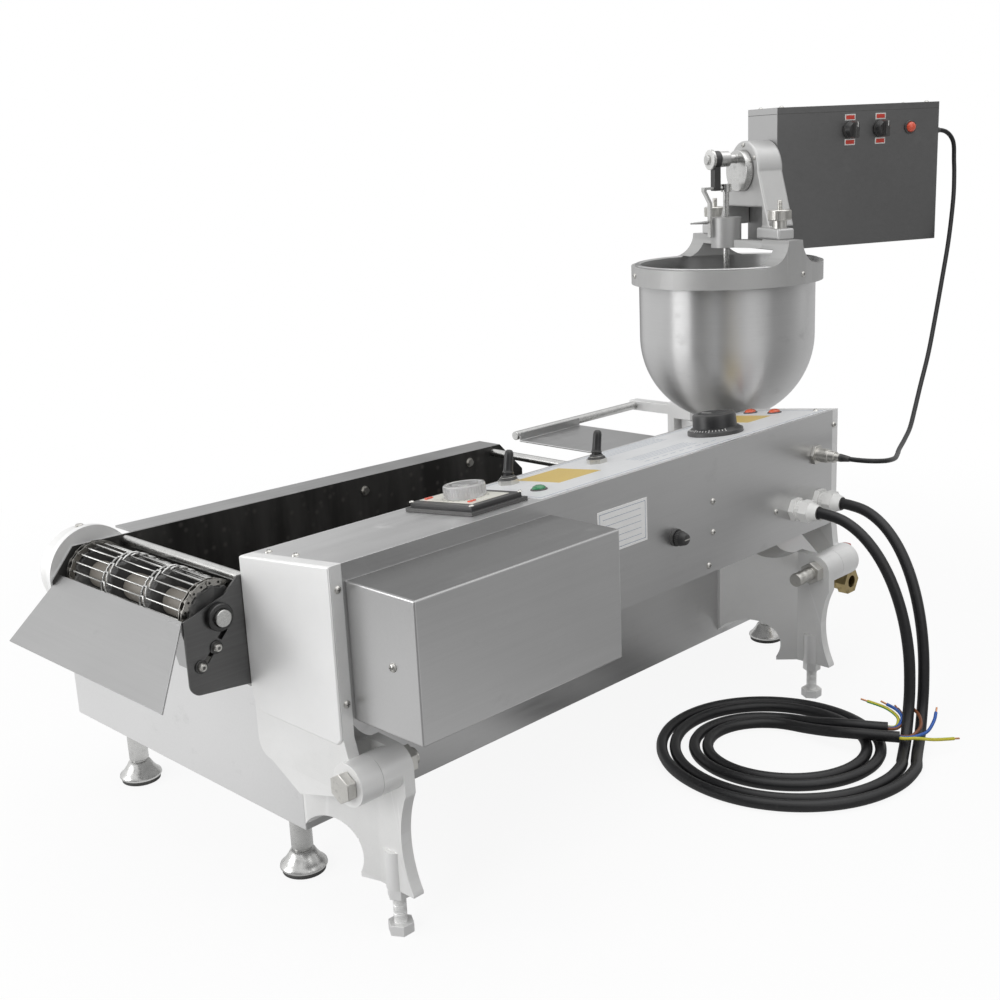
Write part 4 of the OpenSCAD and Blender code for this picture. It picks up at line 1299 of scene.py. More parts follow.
@dataclass
class Cords:
    """The two mains cords with their stripped ends, and the hopper's thin lead."""

    cord_d: float = 13.0
    cord_sides: int = 14
    cord_step: float = 7.0
    gland_end: float = -24.0
    drop_z: Pair = (45, 238)
    exit_run: float = 18.0
    hang_steps: int = 8
    landings: tuple[Point, Point] = ((694, -164, 65.5), (712, -172, 65.5))
    landing_way: Point = (-0.92, -0.39, 0)
    landing_r: float = 59.0
    loop_c: Pair = (572, -65)
    loop_r: Pair = (134, 149)
    loop_in: float = 40.0
    loop_turns: float = 1.74
    loop_start: float = -72.0
    loop_wide: float = 1.05
    strays: tuple[Point, ...] = ((4, 2, 2.1), (3, 1, 1.3))
    rings: int = 24
    tails: tuple[tuple[Point, ...], ...] = (
        (
            (629.3, -44, 6.9), (630.2, -62, 8.4), (629.2, -82, 11.6), (628, -102, 15.5),
            (630.5, -122, 18.7), (636, -141, 20.4), (643.5, -159.5, 21.3), (651, -176, 21.8),
        ),
        (
            (644, -38, 7.3), (645.8, -57, 9.4), (645.8, -76, 13.2), (646.5, -96, 17.5),
            (650.5, -116, 20.2), (657.5, -135, 21), (667, -152.5, 21),
        ),
    )
    core_r: float = 1.9
    core_step: float = 3.0
    core_run: Pair = (-6, 7)
    core_gap: float = 2.6
    core_bends: tuple[tuple[tuple[Point, ...], ...], ...] = (
        (
            ((10, -11, 2), (24, -13, 8), (38, -4, 14), (46, 10, 18)),
            ((9, -13, 1), (26, -20, 3), (46, -18, 9), (58, -14, 14)),
            ((9, -16, 0), (26, -29, -4), (52, -40, -9)),
        ),
        (
            ((7, -11, 2), (14, -12, 6), (22, -6, 10), (30, 4, 12)),
            ((8, -10, 4), (16, -9, 10), (21, 1, 15), (22, 14, 18)),
            ((8, -8, 4), (16, -3, 9), (20, 14, 14), (16, 36, 18)),
        ),
    )
    strand_r: float = 1.1
    strand_run: Pair = (-1, 8)
    lead_d: float = 6.0
    lead_sides: int = 12
    lead_step: float = 5.0
    socket_end: float = -34.3
    socket_way: Point = (1, 0, -0.1)
    socket_run: float = 16.0
    socket_bend: Pair = (31, 90)
    lead: tuple[Point, ...] = (
        (806, -76, 305), (838, -62, 302), (872, -46, 300), (912, -32, 304), (948, -20, 312),
        (980, -9, 330), (1010, 0, 355), (1045, 8, 394), (1074, 15, 437), (1104, 22, 488),
        (1131, 28, 540), (1152, 34, 594), (1164, 40, 628), (1168.5, 43.5, 648),
    )
    lead_split: Point = (1045, 8, 394)
    lead_exit: Point = (318.3, -10, 688)
    lead_run: float = 11.1
    lead_bend: Pair = (26, 90)
    lower_reach: tuple[Point, Point] = ((785, 0, 300), (1000, 0, 300))
    upper_reach: tuple[Point, Point] = ((1100, 20, 640), (1100, 20, 400))

    def loop_point(self, k: int, t: float) -> Point:
        """A point of cord k's loop, t turns from its start.

        Args:
            k: 0 for the front cord, 1 for the rear one.
            t: Turns from the loop's start.

        Returns:
            The point.
        """
        angle = radians(self.loop_start) - 2 * pi * t
        stray = sum(size * sin(waves * angle + drift * t) for size, waves, drift in self.strays)
        radius = self.loop_r[k] - self.loop_in * t + stray * min(1.0, 4.0 * t)
        x = self.loop_c[0] + radius * cos(angle)
        return (x, self.loop_c[1] + self.loop_wide * radius * sin(angle), self.cord_d / 2)

    def hang_point(self, out: Point, low: Point, t: float) -> Point:
        """A point of the hanging part: level where the cord leaves, upright at its low end.

        Args:
            out: Where the cord begins to fall.
            low: The low end.
            t: Share of the way.

        Returns:
            The point.
        """
        level, fall = sin(t * pi / 2), 1.0 - cos(t * pi / 2)
        shares = (t * t * (3.0 - 2.0 * t), level, fall)
        return tuple(a + (b - a) * share for a, b, share in zip(out, low, shares))

    def route(self, k: int) -> list[Point]:
        """The whole route of mains cord k.

        Args:
            k: 0 for the front cord, 1 for the rear one.

        Returns:
            The route's points.
        """
        x, z = GLANDS[k]
        start = (x, self.gland_end, z)
        out = (x, self.gland_end - self.exit_run, z)
        spot = self.landings[k]
        hang = [self.hang_point(out, spot, i / self.hang_steps) for i in range(self.hang_steps)]
        land = round_bend(spot, DOWNWARD, self.landing_way, self.landing_r, 90.0)
        turns = int(self.loop_turns * self.rings)
        loop = [self.loop_point(k, i / self.rings) for i in range(turns + 1)]
        join = tuple((Vector(land[-1]) + Vector(loop[0])) / 2)
        return [start, *hang, *land, join, *loop, *self.tails[k]]

    def lead_route(self) -> list[Point]:
        """The lead's route from the round connector to the motor box.

        Returns:
            The route's points.
        """
        x, z = SOCKET
        y = self.socket_end
        low = round_bend((x, y - self.socket_run, z), NEARWARD, self.socket_way, *self.socket_bend)
        s, across, height = self.lead_exit
        start = (s + self.lead_run, across, height)
        high = round_bend(start, REARWARD, DOWNWARD, *self.lead_bend)
        to_machine = MACHINE.inverted() @ HOPPER
        top = [tuple(to_machine @ Vector(spot)) for spot in (self.lead_exit, *high)]
        return [(x, y, z), *low, *self.lead, *top[::-1]]

    def cores(self, k: int, end: Vector, way: Vector) -> list[Object]:
        """The stripped conductors of mains cord k, fanned out over the loops.

        Args:
            k: 0 for the front cord, 1 for the rear one.
            end: End of the cord's jacket.
            way: The way that the cord ends.

        Returns:
            The cores and their copper ends.
        """
        finishes = {"brown": CORE_BROWN, "blue": CORE_BLUE, "earth": CORE_EARTH}
        across = Matrix.Rotation(pi / 2, 3, "Z") @ way * self.core_gap * (1.0 - 2.0 * k)
        made = []
        for n, (name, bends) in enumerate(zip(finishes, self.core_bends[k])):
            side = across * (1.0 - n)
            bare = [end + way * run + side for run in self.core_run]
            line = smooth_path([*bare, *(end + Vector(bend) for bend in bends)], self.core_step)
            core = Form().tube(line, self.core_r)
            made.append(core.piece(f"core_{name}_{k}", finishes[name], "base"))
            ahead = (line[-1] - line[-2]).normalized()
            strand = Form().tube([line[-1] + ahead * run for run in self.strand_run], self.strand_r, 10)
            made.append(strand.piece(f"core_{name}_{k}_copper", COPPER, "base"))
        return made

    def build(self) -> None:
        """Makes every cord."""
        for k, name in enumerate(("front", "rear")):
            path = smooth_path(self.route(k), self.cord_step)
            cores = self.cores(k, path[-1], (path[-1] - path[-2]).normalized())
            nodes = [f"mains_drop_{name}"] + (["mains_loops"] if k == 0 else [])
            cord = Form().tube(path, self.cord_d / 2, self.cord_sides).piece(
                f"mains_cord_{name}", CORD_BLACK, None, nodes=nodes, slot="cord_jacket"
            )
            low, high = (row((GLANDS[k][0], self.gland_end, z)) for z in self.drop_z)
            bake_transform(cord)
            travel(path) * MM
        self.build_lead()

    def build_lead(self) -> None:
        """The thin lead, made in two pieces parted on its rise."""
        line = smooth_path(self.lead_route(), self.lead_step)
        split = min(range(len(line)), key=lambda i: (line[i] - Vector(self.lead_split)).length)
        lower = ("lead_lower", line[: split + 1], "head", ("lead",), self.lower_reach)
        upper = ("lead_upper", line[split:][::-1], "hopper", (), self.upper_reach)
        for name, path, body, nodes, (first, last) in (lower, upper):
            half = Form().tube(path, self.lead_d / 2, self.lead_sides).piece(
                name, CORD_BLACK, None, nodes=nodes, slot="cord_jacket"
            )
            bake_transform(half)
            travel(path) * MM


# Studio


@dataclass
class Studio:
    """Camera, light, world and floor, in metres but for the eye.

    Flags are the grey of cards round the machine, by the share of a turn.
    """

    eye: Point = (-642, -857, 690)
    azimuth: float = -44.61
    elevation: float = 14.75
    roll: float = -2.71
    lens: float = 47.9
    sensor: float = 36.0
    sight: float = 50.0
    flags: tuple[Pair, ...] = (
        (0, 0.10), (0.10, 0.10), (0.16, 0.62), (0.21, 0.52), (0.27, 0.26), (0.36, 0.40), (0.43, 0.78),
        (0.55, 0.7), (0.64, 0.24), (0.70, 1), (0.86, 1), (0.92, 0.30), (0.97, 0.10), (1, 0.10),
    )
    floor_flags: tuple[Pair, ...] = (
        (0, 0.85), (0.06, 0.40), (0.10, 0.14), (0.17, 0.66), (0.22, 0.56), (0.28, 0.30), (0.36, 0.32),
        (0.43, 0.78), (0.55, 0.7), (0.64, 0.22), (0.72, 0.9), (0.91, 1), (1, 0.85),
    )
    flag_top: Pair = (0.25, 0.75)
    flag_reach: Pair = (0.9, 1.5)
    ambient: float = 0.54
    floor_size: float = 60.0
    floor_drop: float = 0.0005
    floor_greys: Pair = (0.58, 0.92)
    white_reach: Pair = (0.6, 1.6)
    white_share: float = 0.90
    mirror_share: float = 0.75
    lamps: tuple[tuple[str, Point, float, float, float, bool], ...] = (
        ("softbox_top", (0.2, -0.3, 2.6), 0.2, 2.6, 20.0, True),
        ("softbox_left", (-2.6, 1.3, 0.9), 0.25, 1.5, 24.0, True),
        ("softbox_front", (-2.8, -0.6, 1.5), 0.25, 1.4, 30.0, False),
        ("softbox_right", (-0.3, -2.6, 1.5), 0.25, 1.6, 6.0, True),
    )

    def build(self) -> None:
        """Makes the whole studio."""
        self.camera()
        self.world()
        self.floor()
        for lamp in self.lamps:
            self.softbox(*lamp)
        bpy.context.scene.view_settings.view_transform = "Standard"

    def camera(self) -> None:
        """Camera of the photograph's angle."""
        az, el, roll = (radians(v) for v in (self.azimuth, self.elevation, self.roll))
        back = Vector((sin(az) * cos(el), -cos(az) * cos(el), sin(el)))
        level = Vector((cos(az), sin(az), 0.0))
        upright = back.cross(level)
        right = level * cos(roll) + upright * sin(roll)
        up = upright * cos(roll) - level * sin(roll)
        data = bpy.data.cameras.new("camera")
        data.lens = self.lens
        data.sensor_width = self.sensor
        data.sensor_fit = "HORIZONTAL"
        data.clip_end = self.sight
        camera = linked("camera", data)
        turn = Matrix((right, up, back)).transposed().to_4x4()
        camera.matrix_world = Matrix.Translation(row(self.eye)) @ turn
        bpy.context.scene.camera = camera

    def softbox(
        self, name: str, place: Point, height: float, size: float, power: float, mirrored: bool
    ) -> None:
        """A square lamp that looks at a height over the middle, mirrored in metal or not.

        Args:
            name: Name of the lamp.
            place: Where it stands.
            height: The height that it looks at.
            size: Length of its side.
            power: Its power in watts.
            mirrored: Whether metal mirrors it.
        """
        data = bpy.data.lights.new(name, "AREA")
        data.size = size
        data.energy = power
        light = linked(name, data)
        turn = (Vector((0.0, 0.0, height)) - Vector(place)).to_track_quat("-Z", "Y").to_matrix().to_4x4()
        light.matrix_world = Matrix.Translation(place) @ turn
        light.visible_glossy = mirrored

    def cards(self, net: Net, place: Wire, flags: Sequence[Pair]) -> Wire:
        """Grey of the studio's dark and bright cards in the direction of a place.

        Args:
            net: The net of the world or floor.
            place: The place, from the middle.
            flags: Greys by the share of a turn.

        Returns:
            The grey.
        """
        turn = net.math("ARCTAN2", net.axis("Y", place), net.axis("X", place))
        stops = tuple((position, grey(level)) for position, level in flags)
        return net.add("ShaderNodeValToRGB", {"stops": stops}, {0: turn * (0.5 / pi) + 0.5})

    def world(self) -> None:
        """White surround, with grey cards round the horizon that only reflections show."""
        world = bpy.data.worlds.new("studio")
        bpy.context.scene.world = world
        net = Net(world, "ShaderNodeOutputWorld")
        way = net.add("ShaderNodeTexCoord", out="Generated")
        high = net.axis("Z", way).step(*self.flag_top)
        shown = net.blend(high, self.cards(net, way, self.flags), grey(1.0))
        camera = net.ray("Camera")
        seen = (net.ray("Glossy") + net.ray("Transmission")).limited()
        colour = net.blend(camera, shown, grey(1.0))
        strength = (camera + seen).limited() * (1.0 - self.ambient) + self.ambient
        net.end(net.add("ShaderNodeBackground", {}, {"Color": colour, "Strength": strength}))

    def floor(self) -> None:
        """Pale floor: white to the camera with a soft shadow, and cards to reflections."""
        size = self.floor_size / 2
        corners = [(-size, -size, 0), (size, -size, 0), (size, size, 0), (-size, size, 0)]
        mesh = bpy.data.meshes.new("floor")
        mesh.from_pydata(corners, [], [(0, 1, 2, 3)])
        net = Net(bpy.data.materials.new("floor_white"))
        camera = net.ray("Camera")
        place = net.add("ShaderNodeTexCoord", out="Object")
        away = net.add("ShaderNodeVectorMath", {"operation": "LENGTH"}, {0: place}, out="Value")
        pale = net.blend(camera, *map(grey, self.floor_greys))
        matt = net.add("ShaderNodeBsdfDiffuse", {}, {"Color": pale})
        cards = [self.cards(net, place, flags) for flags in (self.floor_flags, self.flags)]
        white = net.blend(camera, net.blend(away.step(*self.flag_reach), *cards), grey(1.0))
        glow = net.add("ShaderNodeEmission", {}, {"Color": white, "Strength": 1.0})
        whiten = away.step(*self.white_reach) * (1.0 - self.white_share) + self.white_share
        share = camera * whiten + net.ray("Glossy") * self.mirror_share
        net.end(net.add("ShaderNodeMixShader", {}, {0: share, 1: matt, 2: glow}))
        mesh.materials.append(net.owner)
        floor = linked("floor", mesh)
        floor.location.z = -self.floor_drop


# Tank, feet and legs


@dataclass
class Base:
    """Tank, oil pan, feet, hinge legs, drain valve and the hopper's post.

    Threads are given as radius, length and pitch.
    """

    kit: Fasteners
    coats: tuple[Coat, ...] = (
        (TANK_SHEET, 1.4, 2, "tank_casing"),
        (PAN_SHEET, 1.0, 2, "oil_pan"),
        (CAST_BRIGHT, 3.0, 3, "leg_front leg_rear"),
        (CAST_BRIGHT, 0.9, 2, "leg_screw_front leg_screw_rear"),
        (ZINC, 0.9, 2, "hinge_bolt_front hinge_bolt_rear"),
        (CAST, 2.0, 2, "hopper_post"),
        (STEEL, 0.8, 2, "stay_rod"),
        (BRASS, 1.0, 2, "drain_valve"),
    )
    foot_x: Pair = (50, 869)
    foot_y: Pair = (149, 461)
    foot_metal: Profile = (
        (0, 5.2), (20, 5.2), (23.2, 5.4), (24, 6.6), (23.6, 8.4), (20, 11.5), (15.5, 17.5),
        (12.6, 22.6), (10.6, 23.8), (9, 24.2), (9, 25.8), (10.4, 26.2), (11, 27.2), (11, 78.6),
        (10, 79), (0, 79),
    )
    foot_pad: Profile = ((0, 0), (20.4, 0), (21.8, 0.7), (22, 2), (22.6, 4.6), (22.2, 5.4), (0, 5.4))
    leg_x: Pair = (42.3, 735.7)
    leg_y: float = -8.0
    leg_thread_z: float = 11.0
    leg_thread: Point = (5.8, 34, 1.75)
    bolt_x: Pair = (61, 686.5)
    hinge_y: float = -14.0
    hinge_z: float = 168.0
    bolt_threads: tuple[Point, Point] = ((7.7, 4.6, 1.75), (7.7, 30, 1.75))
    post_bolts: tuple[Point, ...] = ((922, 306, 150), (922, 306, 235))
    post_bolt_r: float = 5.0
    valve: Point = (846, 42, 121)
    outlet_y: float = 15.5
    outlet_thread: Point = (13, 9, 1.8)
    hub: Profile = ((0, 21), (4, 21), (4, 28.3), (9, 28.3), (9, 34), (6, 34.6), (0, 34.6))
    hub_nut: Point = (9, 34, 37.5)
    lever_half: Profile = ((8, 5), (20, 5.5), (30, 7), (54, 7), (57, 5))
    lever_tip: Pair = (58, 0)
    lever_z: Pair = (28.4, 32.3)

    def build(self) -> None:
        """Dresses every node of the base."""
        dress_all(self.coats)
        self.feet()
        for k, end in enumerate(("front", "rear")):
            leg = standing((self.leg_x[k], self.leg_y, self.leg_thread_z))
            self.kit.threads(f"leg_thread_{end}", [leg], self.leg_thread, CAST_BRIGHT, "base")
            bolt = facing(MACHINE, (self.bolt_x[k], self.hinge_y, self.hinge_z), REARWARD)
            self.kit.threads(f"bolt_thread_{end}", [bolt], self.bolt_threads[k], ZINC, "base")
        self.drain()
        bolts = [facing(MACHINE, place, NEARWARD) for place in self.post_bolts]
        self.kit.hexes("post_bolts", bolts, self.post_bolt_r, "base")

    def feet(self) -> None:
        """Bell feet with rubber soles."""
        for x, end in zip(self.foot_x, ("front", "rear")):
            for y, side in zip(self.foot_y, ("near", "far")):
                spot = standing((x, y, 0.0))
                node = f"foot_{end}_{side}"
                bell = Form(spot).lathe(self.foot_metal, 56)
                bell.piece(node + "_bell", STEEL, "base", nodes=[node], angle=50.0)
                sole = Form(spot).lathe(self.foot_pad, 56)
                sole.piece(node + "_sole", FOOT_RUBBER, "base", angle=50.0)

    def drain(self) -> None:
        """The ball valve's outlet thread and its red lever."""
        x, _, z = self.valve
        outlet = facing(MACHINE, (x, self.outlet_y, z), FARWARD)
        self.kit.threads("valve_thread", [outlet], self.outlet_thread, BRASS, "base")
        spot = standing(self.valve)
        hub = Form(spot).lathe(self.hub, 32).hexagon(*self.hub_nut)
        hub.piece("valve_lever_hub", ZINC, "valve", nodes=["valve_handle"])
        outline = [*((x, -y) for x, y in self.lever_half), self.lever_tip, *self.lever_half[::-1]]
        Form(spot).prism(outline, *self.lever_z).piece("valve_lever", RED_VINYL, "valve", edge=1.5)


# Control head

LONG_TICK = 5


def border(area: Area, inset: float, width: float) -> list[Area]:
    """Four ruled lines inside a rectangle, each from x to x and from y to y.

    Args:
        area: The rectangle, from x to x and from y to y.
        inset: Distance from its edges.
        width: Width of a line.

    Returns:
        The lines.
    """
    x0, x1, y0, y1 = area[0] + inset, area[1] - inset, area[2] + inset, area[3] - inset
    return [
        (x0, x1, y0, y0 + width),
        (x0, x1, y1 - width, y1),
        (x0, x0 + width, y0, y1),
        (x1 - width, x1, y0, y1),
    ]


@dataclass
class Head:
    """End plates, folded cover, motor cover and what is screwed to them."""

    kit: Fasteners
    coats: tuple[Coat, ...] = (
        (CAST, 2.6, 3, "end_plate_front"),
        (CAST, 2.0, 3, "end_plate_rear"),
        (COVER_SHEET, 1.6, 3, "control_cover"),
        (SHEET, 0.8, 2, "inner_wall"),
        (MOTOR_SHEET, 1.8, 3, "motor_cover"),
    )
    near_screws: tuple[Pair, ...] = (
        (538, 298), (538, 262), (530, 224.5), (664, 257), (791, 341), (765, 226.5),
        (6.5, 338), (6.5, 234),
    )
    top_screws: tuple[Pair, ...] = ((17.5, 71), (17.5, 112), (782, 20))
    screw_r: float = 3.6
    motor_screws: tuple[tuple[Point, Point], ...] = (
        ((15.0, -55.5, 279.0), FORWARD), ((271.0, -40.0, 279.0), REARWARD)
    )
    motor_screw_r: float = 4.2
    face_low: float = 197.0
    face_chamfer: float = 6.0
    face_corner: float = 20.0
    face_x: Pair = (-2.6, 0.2)
    plate_box: Area = (340.5, 420.5, 282, 329)
    plate_t: float = 0.5
    rule_inset: float = 3.0
    rule_w: float = 0.5
    rule_z: Pair = (0.45, 0.62)
    rows: int = 5
    row_inset: Point = (8, 10, 9)
    row_pitch: float = 7.0
    row_w: float = 0.4
    row_z: Pair = (0.45, 0.6)

    def build(self) -> None:
        """Dresses the head."""
        dress_all(self.coats)
        self.front_face()
        self.plate()
        near = [near_frame(x, z) for x, z in self.near_screws]
        self.kit.screws("cover_screws", near, self.screw_r, "head")
        top = [panel_frame(x, y) for x, y in self.top_screws]
        self.kit.screws("panel_screws", top, self.screw_r, "head")
        sides = [facing(MACHINE, place, way) for place, way in self.motor_screws]
        self.kit.screws("motor_cover_screws", sides, self.motor_screw_r, "head")

    def front_face(self) -> None:
        """The front plate's raised upper panel, with a round lower corner."""
        low, r = self.face_low, self.face_corner
        angles = [radians(-90.0 + 15.0 * k) for k in range(7)]
        corner = [(BOX_W - r + r * cos(a), low + r + r * sin(a)) for a in angles]
        start = [(0.0, low + self.face_chamfer), (self.face_chamfer, low)]
        outline = [*start, *corner, (BOX_W, TOP_Z - TOP_FALL), (0.0, TOP_Z)]
        Form(END_VIEW).prism(outline, *self.face_x).piece("front_plate_panel", CAST, "head", edge=2.2)

    def plate(self) -> None:
        """The bare foil plate on the near face, with a ruled border and rows."""
        x0, x1, z0, z1 = self.plate_box
        spot = near_frame(0.0, 0.0)
        plate = Form(spot).box((x0, z0, 0.0), (x1, z1, self.plate_t))
        plate.piece("near_plate", FOIL, "head", edge=0.2)
        lines = Form(spot)
        bottom, top = self.rule_z
        for left, right, low, high in border(self.plate_box, self.rule_inset, self.rule_w):
            lines.box((left, low, bottom), (right, high, top))
        bottom, top = self.row_z
        left, right, up = self.row_inset
        for k in range(self.rows):
            low = z0 + up + self.row_pitch * k
            lines.box((x0 + left, low, bottom), (x1 - right, low + self.row_w, top))
        lines.piece("near_plate_rules", VINYL_LINE, "head")


@dataclass
class ControlPanel:
    """The printed panel and every control on it."""

    kit: Fasteners
    vinyl: Area = (266, 786, 6, 125)
    patches: tuple[Area, ...] = ((336, 402, 46, 108), (694, 744, 60, 116))
    vinyl_inset: float = 4.0
    vinyl_rule: float = 1.0
    dash: Area = (452, 461, 26, 27)
    dashes: int = 9
    dash_pitch: float = 15.0
    row_heads: tuple[Area, ...] = ((456, 580, 96, 96.8), (456, 560, 38, 38.8))
    rows: int = 4
    row_pitch: float = 6.0
    film_z: Pair = (0, 0.35)
    rule_z: Pair = (0.3, 0.42)
    patch_z: Pair = (0.3, 0.45)
    green: Pair = (302, 43)
    orange: tuple[Pair, ...] = ((766, 106), (766, 70))
    lens: Profile = ((0, 5.4), (3, 5.2), (5.4, 4.4), (7, 3), (7.4, 2), (7.4, 1), (0, 1))
    rim: Profile = ((7.5, 0), (9, 0), (9, 1), (8.4, 1.6), (7.5, 1.7), (7.5, 0))
    thermostat: Pair = (222, 66)
    face: Corners = ((-25, -36, 8.9), (25, 40, 9.5))
    tick: Point = (0.3, 22, 9.4)
    tick_top: float = 9.6
    tick_reach: Pair = (23.6, 24.6)
    ticks: int = 21
    tick_pitch: float = 15.0
    bulbs: tuple[Pair, ...] = ((-18, 34), (-17, -27))
    bulb: Corners = ((-4.5, -1.8, 9.3), (4.5, 1.8, 11))
    corner: Pair = (33, 43)
    corner_z: float = 9.0
    corner_r: float = 2.6
    dial: Profile = (
        (0, 3), (4, 3), (4, 9.6), (20.2, 9.6), (20.9, 10.2), (20.9, 21.6), (20, 22.6),
        (17.4, 22.8), (16.8, 22), (16.8, 13.6), (0, 13.4),
    )
    dial_core: Profile = ((0, 13.3), (6, 13.3), (6, 21), (5.2, 21.6), (0, 21.6))
    dial_bar: Corners = ((-1.6, 2, 13.3), (1.6, 16.4, 21.4))
    dial_rib: Corners = ((20.35, -0.45, 10.8), (21.25, 0.45, 20.6))
    dial_ribs: int = 48
    toggles: tuple[tuple[Pair, str], ...] = (((320.0, 104.0), "front"), ((438.0, 83.0), "rear"))
    toggle_lift: float = 8.0
    toggle_lean: float = 14.0
    skirt: Profile = (
        (6.4, 4.4), (9.6, 4.4), (10, 5.4), (9.4, 6.8), (7.6, 8), (7, 9.4), (6.6, 9.8),
        (6.4, 9.4), (6.4, 4.4),
    )
    boot: Profile = (
        (0, -5.2), (3, -4.2), (4.9, -1.8), (5.2, 0.2), (5.1, 2.4), (5.5, 3.4), (6, 4),
        (6, 5), (5.3, 5.6), (5.2, 6.6), (5, 9), (4.9, 14), (4.8, 20), (4.7, 24),
        (4.2, 26.4), (3, 27.9), (1.6, 28.4), (0, 28.5),
    )
    knob: Pair = (624, 58)
    knob_form: Profile = (
        (0, -8), (3, -8), (3, 0.3), (32.4, 0.3), (33, 0.9), (32.8, 4.4), (32, 5.4),
        (27.6, 8.2), (26.2, 8.8), (25.9, 10), (25.4, 22.6), (24.8, 23.8), (23.4, 24.4),
        (19, 24.5), (18.4, 24.1), (0, 24.1),
    )
    knob_line: Corners = ((-0.7, 4, 24), (0.7, 17.5, 24.3))
    scale_start: float = -150.0
    skirt_spot: Point = (0, 29.8, 6.8)
    skirt_slope: float = -32.5
    mark: Point = (0.3, -0.1, 0.16)
    mark_reach: Pair = (1.2, 2.2)
    marks: int = 41
    mark_pitch: float = 7.5

    def build(self) -> None:
        """Makes the panel."""
        self.overlay()
        self.controller()
        self.switches()
        self.speed_knob()
        self.lamps()

    def lamps(self) -> None:
        """Lamp lenses and their black rims."""
        green = Form(panel_frame(*self.green)).lathe(self.lens, 32)
        green.piece("lamp_green_lens", GREEN_LENS, "head", nodes=["lamp_green"], slot="green_lens")
        ambers = Form(WORLD)
        for place in self.orange:
            ambers.lathe(self.lens, 32, panel_frame(*place))
        ambers.piece("lamps_orange_lens", ORANGE_LENS, "head", nodes=["lamps_orange"], slot="orange_lens")
        rims = Form(WORLD)
        for place in (self.green, *self.orange):
            rims.lathe(self.rim, 32, panel_frame(*place))
        rims.piece("lamp_rims", BLACK_PLASTIC, "head")

    def overlay(self) -> None:
        """White vinyl with a ruled border, ruled rows and plain yellow patches."""
        slope = 1.0 / cos(TILT)
        rules = border(self.vinyl, self.vinyl_inset, self.vinyl_rule)
        left, right, low, high = self.dash
        steps = [self.dash_pitch * k for k in range(self.dashes)]
        rules += [(left + step, right + step, low, high) for step in steps]
        for k in range(self.rows):
            lift = self.row_pitch * k
            rules += [(x0, x1, y0 + lift, y1 + lift) for x0, x1, y0, y1 in self.row_heads]
        sheets = (
            ("panel_film", VINYL, [self.vinyl], self.film_z, 0.15),
            ("panel_rules", VINYL_LINE, rules, self.rule_z, 0.0),
            ("panel_patches", VINYL_YELLOW, self.patches, self.patch_z, 0.0),
        )
        for name, finish, areas, (bottom, top), edge in sheets:
            sheet = Form(panel_frame(0.0, 0.0))
            for x0, x1, y0, y1 in areas:
                sheet.box((x0, y0 * slope, bottom), (x1, y1 * slope, top))
            sheet.piece(name, finish, "head", edge=edge)

    def controller(self) -> None:
        """Temperature controller: stepped black bezel, cream face, clear dial, red lamps and screws."""
        dress("thermostat", BLACK_PLASTIC, 1.2, 2)
        spot = panel_frame(*self.thermostat)
        Form(spot).box(*self.face).piece("controller_face", IVORY, "head", edge=0.2)
        ticks = Form(spot)
        half, start, low = self.tick
        for k in range(self.ticks):
            reach = self.tick_reach[k % LONG_TICK == 0]
            turn = spun(self.scale_start + self.tick_pitch * k)
            ticks.box((-half, start, low), (half, reach, self.tick_top), turn)
        ticks.piece("dial_ticks", SLOT_DARK, "head")
        bulbs = Form(spot)
        for x, y in self.bulbs:
            bulbs.box(*self.bulb, Matrix.Translation((x, y, 0.0)))
        bulbs.piece("controller_lamps", RED_LENS, "head", edge=0.6)
        x, y = self.corner
        signs = [(sx, sy) for sx in (-1, 1) for sy in (-1, 1)]
        corners = [standing((sx * x, sy * y, self.corner_z), spot) for sx, sy in signs]
        self.kit.screws("controller_screws", corners, self.corner_r, "head")
        dial = Form(spot).lathe(self.dial, 64)
        dial.piece("dial_dressed", CLEAR, "dial", nodes=["dial_knob"], slot="ivory_plastic")
        bar = Form(spot).lathe(self.dial_core, 40).box(*self.dial_bar)
        bar.piece("dial_bar", CLEAR, "dial", edge=0.4)
        grip = Form(spot).ring(self.dial_ribs, *self.dial_rib)
        grip.piece("dial_grip", CLEAR, "dial", edge=0.25)

    def switches(self) -> None:
        """Toggle switches: plated nuts, rubber skirts, and boots over the levers."""
        dress("toggle_nuts", ZINC, 0.6, 2)
        skirts = Form(WORLD)
        for (x, y), end in self.toggles:
            skirts.lathe(self.skirt, 40, panel_frame(x, y))
            lean = Matrix.Rotation(radians(self.toggle_lean), 4, "Y")
            boot = Form(panel_frame(x, y, self.toggle_lift) @ lean).lathe(self.boot, 40)
            node = f"toggle_{end}"
            boot.piece(node + "_boot", BOOT_RUBBER, f"switch_{end}", nodes=[node], angle=55.0)
        skirts.piece("toggle_skirts", BOOT_RUBBER, "head", angle=55.0)

    def speed_knob(self) -> None:
        """Large skirted knob: smooth grip, graduated skirt and a pointer line."""
        spot = panel_frame(*self.knob)
        knob = Form(spot).lathe(self.knob_form, 96)
        knob.piece("speed_knob_turned", BLACK_PLASTIC, "knob", nodes=["speed_knob"], slot="black_plastic")
        lean = Matrix.Rotation(radians(self.skirt_slope), 4, "X")
        slope = Matrix.Translation(self.skirt_spot) @ lean
        ticks = Form(spot)
        half, low, high = self.mark
        for k in range(self.marks):
            reach = self.mark_reach[k % LONG_TICK == 0]
            turn = spun(self.scale_start + self.mark_pitch * k)
            ticks.box((-half, -reach, low), (half, reach, high), turn @ slope)
        ticks.piece("speed_knob_ticks", TICK_WHITE, "knob")
        Form(spot).box(*self.knob_line).piece("speed_knob_pointer", TICK_WHITE, "knob")


